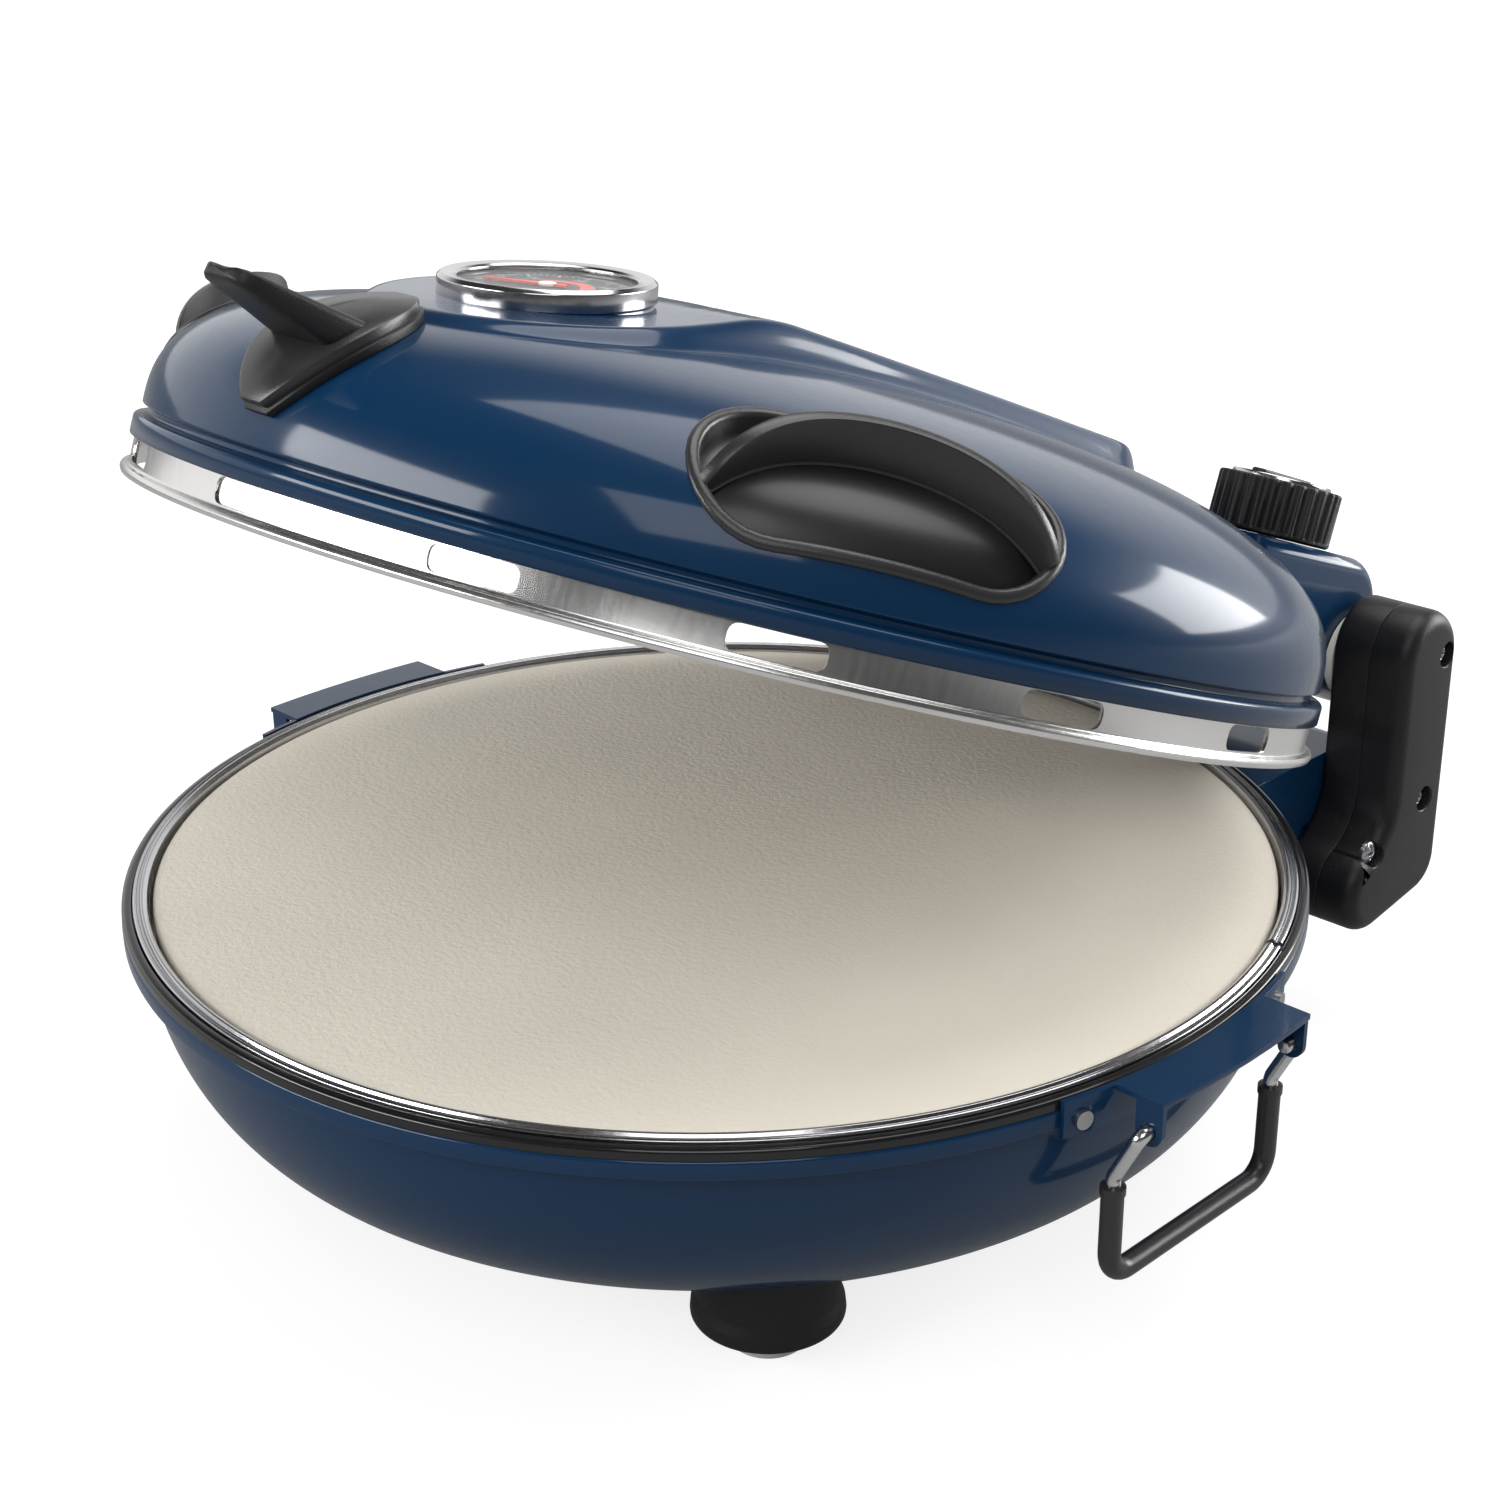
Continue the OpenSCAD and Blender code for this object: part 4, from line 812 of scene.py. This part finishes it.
def handle_blade():
    """The blade, lofted through sections of (distance out, half width, top, bottom)."""
    root = Vector((0, -HANDLE_R + 8, dome_at(HANDLE_R) - 2))
    rise, sides, squareness, dish_depth = math.radians(14), 48, 0.4, 0.8
    ahead, up = Vector((0, -math.cos(rise), math.sin(rise))), Vector((0, math.sin(rise), math.cos(rise)))
    stations = [(0, 13, 7, -6), (8, 13, 6.4, -5.2), (14, 12.6, 5.7, -4.4), (20, 11.8, 5, -3.7),
                (26, 10.9, 4.4, -3), (32, 9.9, 3.8, -2.4), (37, 8.9, 3.4, -2), (40, 7.8, 3.1, -1.7),
                (41.6, 6.2, 2.7, -1.2), (42.4, 4.2, 1.9, -0.4)]

    def squared(share):
        return math.copysign(abs(share) ** squareness, share)

    rows = []
    for out, half, top, bottom in stations:
        row = []
        for k in range(sides):
            t = 2 * math.pi * k / sides
            x, lift = squared(math.cos(t)) * half, squared(math.sin(t))
            height = (top + bottom) / 2 + lift * (top - bottom) / 2
            dish = dish_depth * (1 - (x / half) ** 2) if lift > 0 else 0
            row.append(tuple(root + ahead * out + up * (height - dish) + Vector((x, 0, 0))))
        rows.append(row)
    return capped(rows)


def make_handle():
    inner_r, outer_r = HANDLE_R - 12, HANDLE_R + 10
    slope = math.atan2(dome_at(inner_r) - dome_at(outer_r), outer_r - inner_r)
    seat = Matrix.Translation((0, -HANDLE_R, dome_at(HANDLE_R))) @ Matrix.Rotation(slope, 4, "X")
    ray = seat.to_3x3() @ Vector((0, 0, 1))

    def on_handle(x, y, proud):
        return tuple(hit_dome(seat @ Vector((x, y, 0)), ray, proud))

    def leaf(width, length, low, high, soft):
        """A pointed oval with a rounded upper edge, laid on the dome."""
        bow = (width ** 2 + length ** 2) / (4 * width)
        tip, steps = length / 2 - 2, 24
        half = [(math.sqrt(bow ** 2 - y ** 2) - bow + width / 2, y)
                for y in [-tip + 2 * tip * k / steps for k in range(steps + 1)]]
        outline = half + [(-x, y) for x, y in reversed(half)]
        levels = [(low, 0), (high - soft, 0), (high - 0.3 * soft, 0.3 * soft), (high, soft),
                  (high + 0.2, width * 0.3)]
        return capped([[on_handle(x * (1 - 2 * d / width), y * (1 - 2 * d / length), h)
                        for x, y in outline] for h, d in levels])

    build("handle_base", *leaf(34, 50, 0.2, 2.4, 0.6), "lid", "black_plastic", LID)
    build("handle_plate", *leaf(31.5, 48, 2.2, 5, 1.2), "lid", BLACK_SATIN, LID)
    build("handle_blade", *handle_blade(), "lid", "black_plastic", LID, sharp=50,
          replaces=["front_handle"])


def dial_point(r, degrees, z=PRINT_Z):
    """A point over the dial by radius and angle."""
    a = math.radians(degrees)
    return (r * math.cos(a), r * math.sin(a), z)


def strip(pairs):
    """A flat band along pairs of points."""
    verts = [point for pair in pairs for point in pair]
    return verts, [(2 * k, 2 * k + 1, 2 * k + 3, 2 * k + 2) for k in range(len(pairs) - 1)]


def make_dial_print():
    """Ticks, two thin rings, a coloured arc that narrows at its ends, and plain numbers."""
    ticks, every, tick_out = 50, 5, 19.6
    marks = []
    for k in range(ticks + 1):
        a = math.radians(DIAL_FIRST - DIAL_SWEEP * k / ticks)
        low, half = (18.0, 0.15) if k % every else (16.4, 0.3)
        c, s = math.cos(a), math.sin(a)
        corners = [(low, -half), (tick_out, -half), (tick_out, half), (low, half)]
        marks.append(([(r * c - w * s, r * s + w * c, PRINT_Z) for r, w in corners], [(0, 1, 2, 3)]))
    steps = 90
    for radius, width in ((19.9, 0.25), (11.4, 0.2)):
        marks.append(strip([[dial_point(r, DIAL_FIRST - DIAL_SWEEP * k / steps)
                             for r in (radius, radius + width)] for k in range(steps + 1)]))
    build("dial_marks", *merge(marks), "lid", PRINT_GREY, GAUGE)
    arc_r, arc_w, arc_first, arc_sweep, steps, taper = 9.6, 3.1, 150, 190, 60, 3
    band = []
    for k in range(steps + 1):
        half = arc_w * math.sin(math.pi * (k + taper) / (steps + 2 * taper)) ** 0.6 / 2
        band.append([dial_point(r, arc_first - arc_sweep * k / steps, PRINT_Z + 0.02)
                     for r in (arc_r - half, arc_r + half)])
    build("dial_arc", *strip(band), "lid", "needle_red", GAUGE)
    number_r, number_size, values = 14, 2.8, ("0", "100", "200", "300", "400", "500")
    for k, value in enumerate(values):
        curve = bpy.data.curves.new("number_" + value, "FONT")
        curve.body, curve.size = value, number_size * MM
        curve.align_x, curve.align_y = "CENTER", "CENTER"
        curve.materials.append(PRINT_GREY)
        text = add("number_" + value, curve)
        mark = add(text.name + "_mark", made_mesh(text))
        at = Vector(dial_point(number_r, DIAL_FIRST - DIAL_SWEEP * k / (len(values) - 1)))
        mark.matrix_world = GAUGE @ Matrix.Translation(at * MM)
        bpy.data.objects.remove(text)
        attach(mark, "lid")


def make_thermometer():
    seat, under, step_in = BEZEL_R - 2.9, BEZEL_H - 1.19, 20.6
    bezel = rounded([(BEZEL_R - 0.8, 0.6), (BEZEL_R, 1.3, 0.4), (BEZEL_R, BEZEL_H - 1, 0.5),
                     (BEZEL_R - 1.1, BEZEL_H, 0.6), (BEZEL_IN + 0.8, BEZEL_H - 0.4, 0.4),
                     (BEZEL_IN, BEZEL_H - 0.9, 0.2), (BEZEL_IN, under), (seat, under), (seat, 0.6)])
    build("bezel", *lathe(bezel, 160), "lid", "bright_trim", GAUGE, replaces=["thermometer_bezel"])
    step = rounded([(step_in, DIAL_Z), (seat - 0.2, DIAL_Z), (seat - 0.2, DIAL_Z + 1),
                    (step_in + 0.5, DIAL_Z + 1, 0.2)])
    build("dial_ring", *lathe(step, 128), "lid", "dial_black", GAUGE)
    make_dial_print()
    low, thick, tip, tail, stem_r, hub_r = DIAL_Z + 0.3, 0.5, BEZEL_IN - 5, -5, 0.8, 2.2
    c, s = math.cos(math.radians(DIAL_FIRST)), math.sin(math.radians(DIAL_FIRST))
    pointer = [(tail, -0.8), (2, -1), (tip, -0.3), (tip, 0.3), (2, 1), (tail, 0.8)]
    blade = slab(pointer, [(low, 0), (low + thick, 0)], lambda x, y, z: (x * c - y * s, x * s + y * c, z))
    stem = lathe([(0, -6), (stem_r, -6), (stem_r, low + 0.2), (0, low + 0.2)], 24)
    build("needle", *merge([blade, stem]), "thermometer_needle", "needle_red", GAUGE,
          replaces=["thermometer_needle"])
    hub = rounded([(0, low), (hub_r, low), (hub_r, low + 0.7, 0.2), (0, low + 0.75)])
    build("hub", *lathe(hub, 48), "thermometer_needle", "bearing_plastic", GAUGE)


def make_knob():
    place = LID @ Matrix.Translation((KNOB[0] * MM, KNOB[1] * MM, (HOUSING_TOP + 0.3) * MM))
    flutes, per, flute_r, flute_out = 28, 10, 1.5, 0.4
    count = flutes * per

    def ring(r, z, deep):
        """A level of the knob, with its flutes as deep as the share deep."""
        row = []
        for k in range(count):
            t = 2 * math.pi * k / count
            off = (k % per - per / 2) / per * 2 * math.pi / flutes * KNOB_R
            dent = max(math.sqrt(max(flute_r ** 2 - off ** 2, 0)) - flute_out, 0) * deep
            row.append(((r - dent) * math.cos(t), (r - dent) * math.sin(t), z))
        return row

    rows = [ring(0.01, 0, 0), ring(KNOB_R - 0.8, 0, 0), ring(KNOB_R, 0.7, 0), ring(KNOB_R, 1.4, 0),
            ring(KNOB_R, 1.8, 1), ring(KNOB_R, KNOB_H - 0.8, 1), ring(KNOB_R - 0.3, KNOB_H - 0.25, 1),
            ring(KNOB_R - 0.9, KNOB_H, 0.8), ring(KNOB_R - 3.1, KNOB_H, 0),
            ring(KNOB_R - 3.4, KNOB_H - 0.3, 0), ring(KNOB_R - 3.5, KNOB_H - 1, 0), ring(0.01, KNOB_H - 1, 0)]
    build("knob", *grid(rows, close=True), "knob", "black_plastic", place, sharp=40,
          replaces=["thermostat_knob"])
    cap_r, cap_low, cap_top = KNOB_R - 3.7, KNOB_H - 1, KNOB_H + 1.2
    cap = rounded([(0, cap_low), (cap_r, cap_low), (cap_r, cap_top, 0.7), (0, cap_top)])
    build("knob_disc", *lathe(cap, 96), "knob", "bright_trim", place, replaces=["knob_cap"])
    half, tail, tip = 2.4, -15, 15.2
    bar = rounded([(-half, tail, 1.2), (half, tail, 1.2), (half, tip, 2.3), (-half, tip, 2.3)])
    build("knob_pointer", *slab(bar, edge_levels(KNOB_H - 0.5, KNOB_H + 2.2, 0, 0.7), upward), "knob",
          "black_plastic", place)


# ---------------------------------------------------------------- pieces kept from the frame
def soften(node, width):
    """Rounds a frame node's edges."""
    piece = frame["nodes"][node]
    weld = piece.modifiers.new("weld", "WELD")
    weld.merge_threshold = 0.01 * MM
    flat = piece.modifiers.new("flat", "DECIMATE")
    flat.decimate_type, flat.angle_limit = "DISSOLVE", math.radians(1)
    bevel = piece.modifiers.new("edge", "BEVEL")
    bevel.width, bevel.segments = width * MM, 3
    bevel.limit_method, bevel.angle_limit = "ANGLE", math.radians(35)
    bevel.harden_normals = True


def dress_frame():
    """Gives each frame node its slot's finish, and softens the edges of those that show."""
    slots = {part["node"]: part["material_slot"] for part in frame["record"]["subparts"]}
    for node, piece in frame["nodes"].items():
        piece.data.materials.clear()
        piece.data.materials.append(FINISH[slots[node]])
    for node, width in (("right_handle_bracket", 0.5), ("left_handle_bracket", 0.5), ("hinge_base", 1.5),
                        ("cord_gland", 0.6)):
        soften(node, width)


# ---------------------------------------------------------------- studio and camera
def ramp(tree, value, start, end, low, high):
    """A smooth step of value between start and end, from low to high."""
    node = tree.nodes.new("ShaderNodeMapRange")
    node.interpolation_type = "SMOOTHSTEP"
    for socket, number in (("From Min", start), ("From Max", end), ("To Min", low), ("To Max", high)):
        node.inputs[socket].default_value = number
    tree.links.new(value, node.inputs["Value"])
    return node.outputs["Result"]


def pick(tree, factor, zero, one):
    """A number that goes from zero to one, each a socket or a value, with the factor."""
    node = tree.nodes.new("ShaderNodeMix")
    tree.links.new(factor, node.inputs["Factor"])
    for name, value in (("A", zero), ("B", one)):
        if isinstance(value, (int, float)):
            node.inputs[name].default_value = value
        else:
            tree.links.new(value, node.inputs[name])
    return node.outputs["Result"]


def direction(azimuth, elevation):
    """The way from the object to a place: azimuth 0 is in front and 90 on the right, in degrees."""
    a, e = math.radians(azimuth), math.radians(elevation)
    return Vector((math.sin(a) * math.cos(e), -math.cos(a) * math.cos(e), math.sin(e)))


def make_world():
    """White behind the object. Reflections see a room that is bright on one side, and dark overhead."""
    world = bpy.data.worlds.new("studio")
    bpy.context.scene.world = world
    world.use_nodes = True
    tree = world.node_tree
    path, place = tree.nodes.new("ShaderNodeLightPath"), tree.nodes.new("ShaderNodeTexCoord")
    split = tree.nodes.new("ShaderNodeSeparateXYZ")
    tree.links.new(place.outputs["Generated"], split.inputs["Vector"])
    toward = tree.nodes.new("ShaderNodeVectorMath")
    toward.operation = "DOT_PRODUCT"
    toward.inputs[1].default_value = BRIGHT_SIDE
    tree.links.new(place.outputs["Generated"], toward.inputs[0])
    wall = ramp(tree, toward.outputs["Value"], -0.3, 0.5, ROOM, 1.0)
    height = ramp(tree, split.outputs["Z"], 0.3, 0.62, 0.0, 1.0)
    backdrop = pick(tree, height, wall, CEILING)
    level = pick(tree, path.outputs["Is Glossy Ray"], AMBIENT, backdrop)
    level = pick(tree, path.outputs["Is Transmission Ray"], level, 1.0)
    level = pick(tree, path.outputs["Is Camera Ray"], level, 1.0)
    tree.links.new(level, tree.nodes["Background"].inputs["Strength"])
    tree.nodes["Background"].inputs["Color"].default_value = (1, 1, 1, 1)


def make_floor():
    """A white sweep that keeps the object's shadow and runs out into the white backdrop.

    Its paper is grey under the lamps, and what the camera sees of it is made up to white by emission,
    a little less near the object than further out."""
    near_r, far_r, near_white, far_white = 0.2, 0.8, 0.78, 0.9
    bpy.ops.mesh.primitive_plane_add(size=60)
    floor = bpy.context.object
    floor.name = "floor"
    paper = bpy.data.materials.new("floor_paper")
    paper.use_nodes = True
    tree = paper.node_tree
    shader = tree.nodes["Principled BSDF"]
    shader.inputs["Base Color"].default_value = (0.3, 0.3, 0.3, 1)
    shader.inputs["Roughness"].default_value = 0.9
    shader.inputs["Specular IOR Level"].default_value = 0.0
    path, place = tree.nodes.new("ShaderNodeLightPath"), tree.nodes.new("ShaderNodeNewGeometry")
    away = tree.nodes.new("ShaderNodeVectorMath")
    away.operation = "LENGTH"
    tree.links.new(place.outputs["Position"], away.inputs[0])
    seen = pick(tree, path.outputs["Is Glossy Ray"], 0.0, FLOOR_SHINE)
    seen = pick(tree, path.outputs["Is Transmission Ray"], seen, 1.0)
    seen = pick(tree, path.outputs["Is Camera Ray"], seen, 1.0)
    share = tree.nodes.new("ShaderNodeMath")
    share.operation = "MULTIPLY"
    tree.links.new(seen, share.inputs[0])
    whiter = ramp(tree, away.outputs["Value"], near_r, far_r, near_white, far_white)
    tree.links.new(whiter, share.inputs[1])
    white, both = tree.nodes.new("ShaderNodeEmission"), tree.nodes.new("ShaderNodeAddShader")
    tree.links.new(share.outputs["Value"], white.inputs["Strength"])
    tree.links.new(shader.outputs["BSDF"], both.inputs[0])
    tree.links.new(white.outputs["Emission"], both.inputs[1])
    tree.links.new(both.outputs["Shader"], tree.nodes["Material Output"].inputs["Surface"])
    floor.data.materials.append(paper)


def make_studio():
    """World, floor and lamps of (name, azimuth, elevation, distance, width, height, power)."""
    make_world()
    make_floor()
    target = Vector((0, 0, 0.12))
    for name, azimuth, elevation, distance, width, height, power in (
            ("top", 170, 72, 1.5, 1.5, 1.0, 17), ("front_left", -22, 22, 1.7, 1.3, 0.42, 18),
            ("rear_right", 152, 14, 1.8, 1.1, 0.7, 24), ("fill", 45, 40, 2.0, 1.0, 1.0, 9)):
        back = direction(azimuth, elevation)
        lamp = bpy.data.lights.new(name, "AREA")
        lamp.shape, lamp.size, lamp.size_y, lamp.energy = "RECTANGLE", width, height, power
        holder = add(name + "_lamp", lamp)
        holder.location = target + back * distance
        holder.rotation_euler = (-back).to_track_quat("-Z", "Y").to_euler()


def make_camera():
    """The photograph's camera: angles in degrees, lengths in metres, the focal length in pixels."""
    azimuth, elevation, roll = 45.5, 22.57, math.radians(-0.58)
    distance, shift_x, shift_y, focal = 0.68425, 0.0095, 0.0243, 2408.8
    back = direction(azimuth, elevation)
    right = direction(azimuth + 90, 0)
    up = back.cross(right)
    right, up = (right * math.cos(roll) + up * math.sin(roll), up * math.cos(roll) - right * math.sin(roll))
    lens = bpy.data.cameras.new("camera")
    lens.sensor_width = 36
    lens.lens = focal * lens.sensor_width / IMAGE_W
    lens.clip_start = 0.01
    camera = add("camera", lens)
    centre = Vector((0, PAN_Y * MM, RIM_Z * MM))
    turn = Matrix((right, up, back)).transposed().to_4x4()
    camera.matrix_world = Matrix.Translation(centre + back * distance + right * shift_x + up * shift_y) @ turn
    bpy.context.scene.camera = camera


dress_frame()
make_pan()
make_rim()
make_feet()
make_bails()
make_arms()
make_lid_shell()
make_skirt()
make_housing()
make_windows()
make_handle()
make_thermometer()
make_knob()
make_studio()
make_camera()
bpy.context.scene.view_settings.view_transform = "Standard"
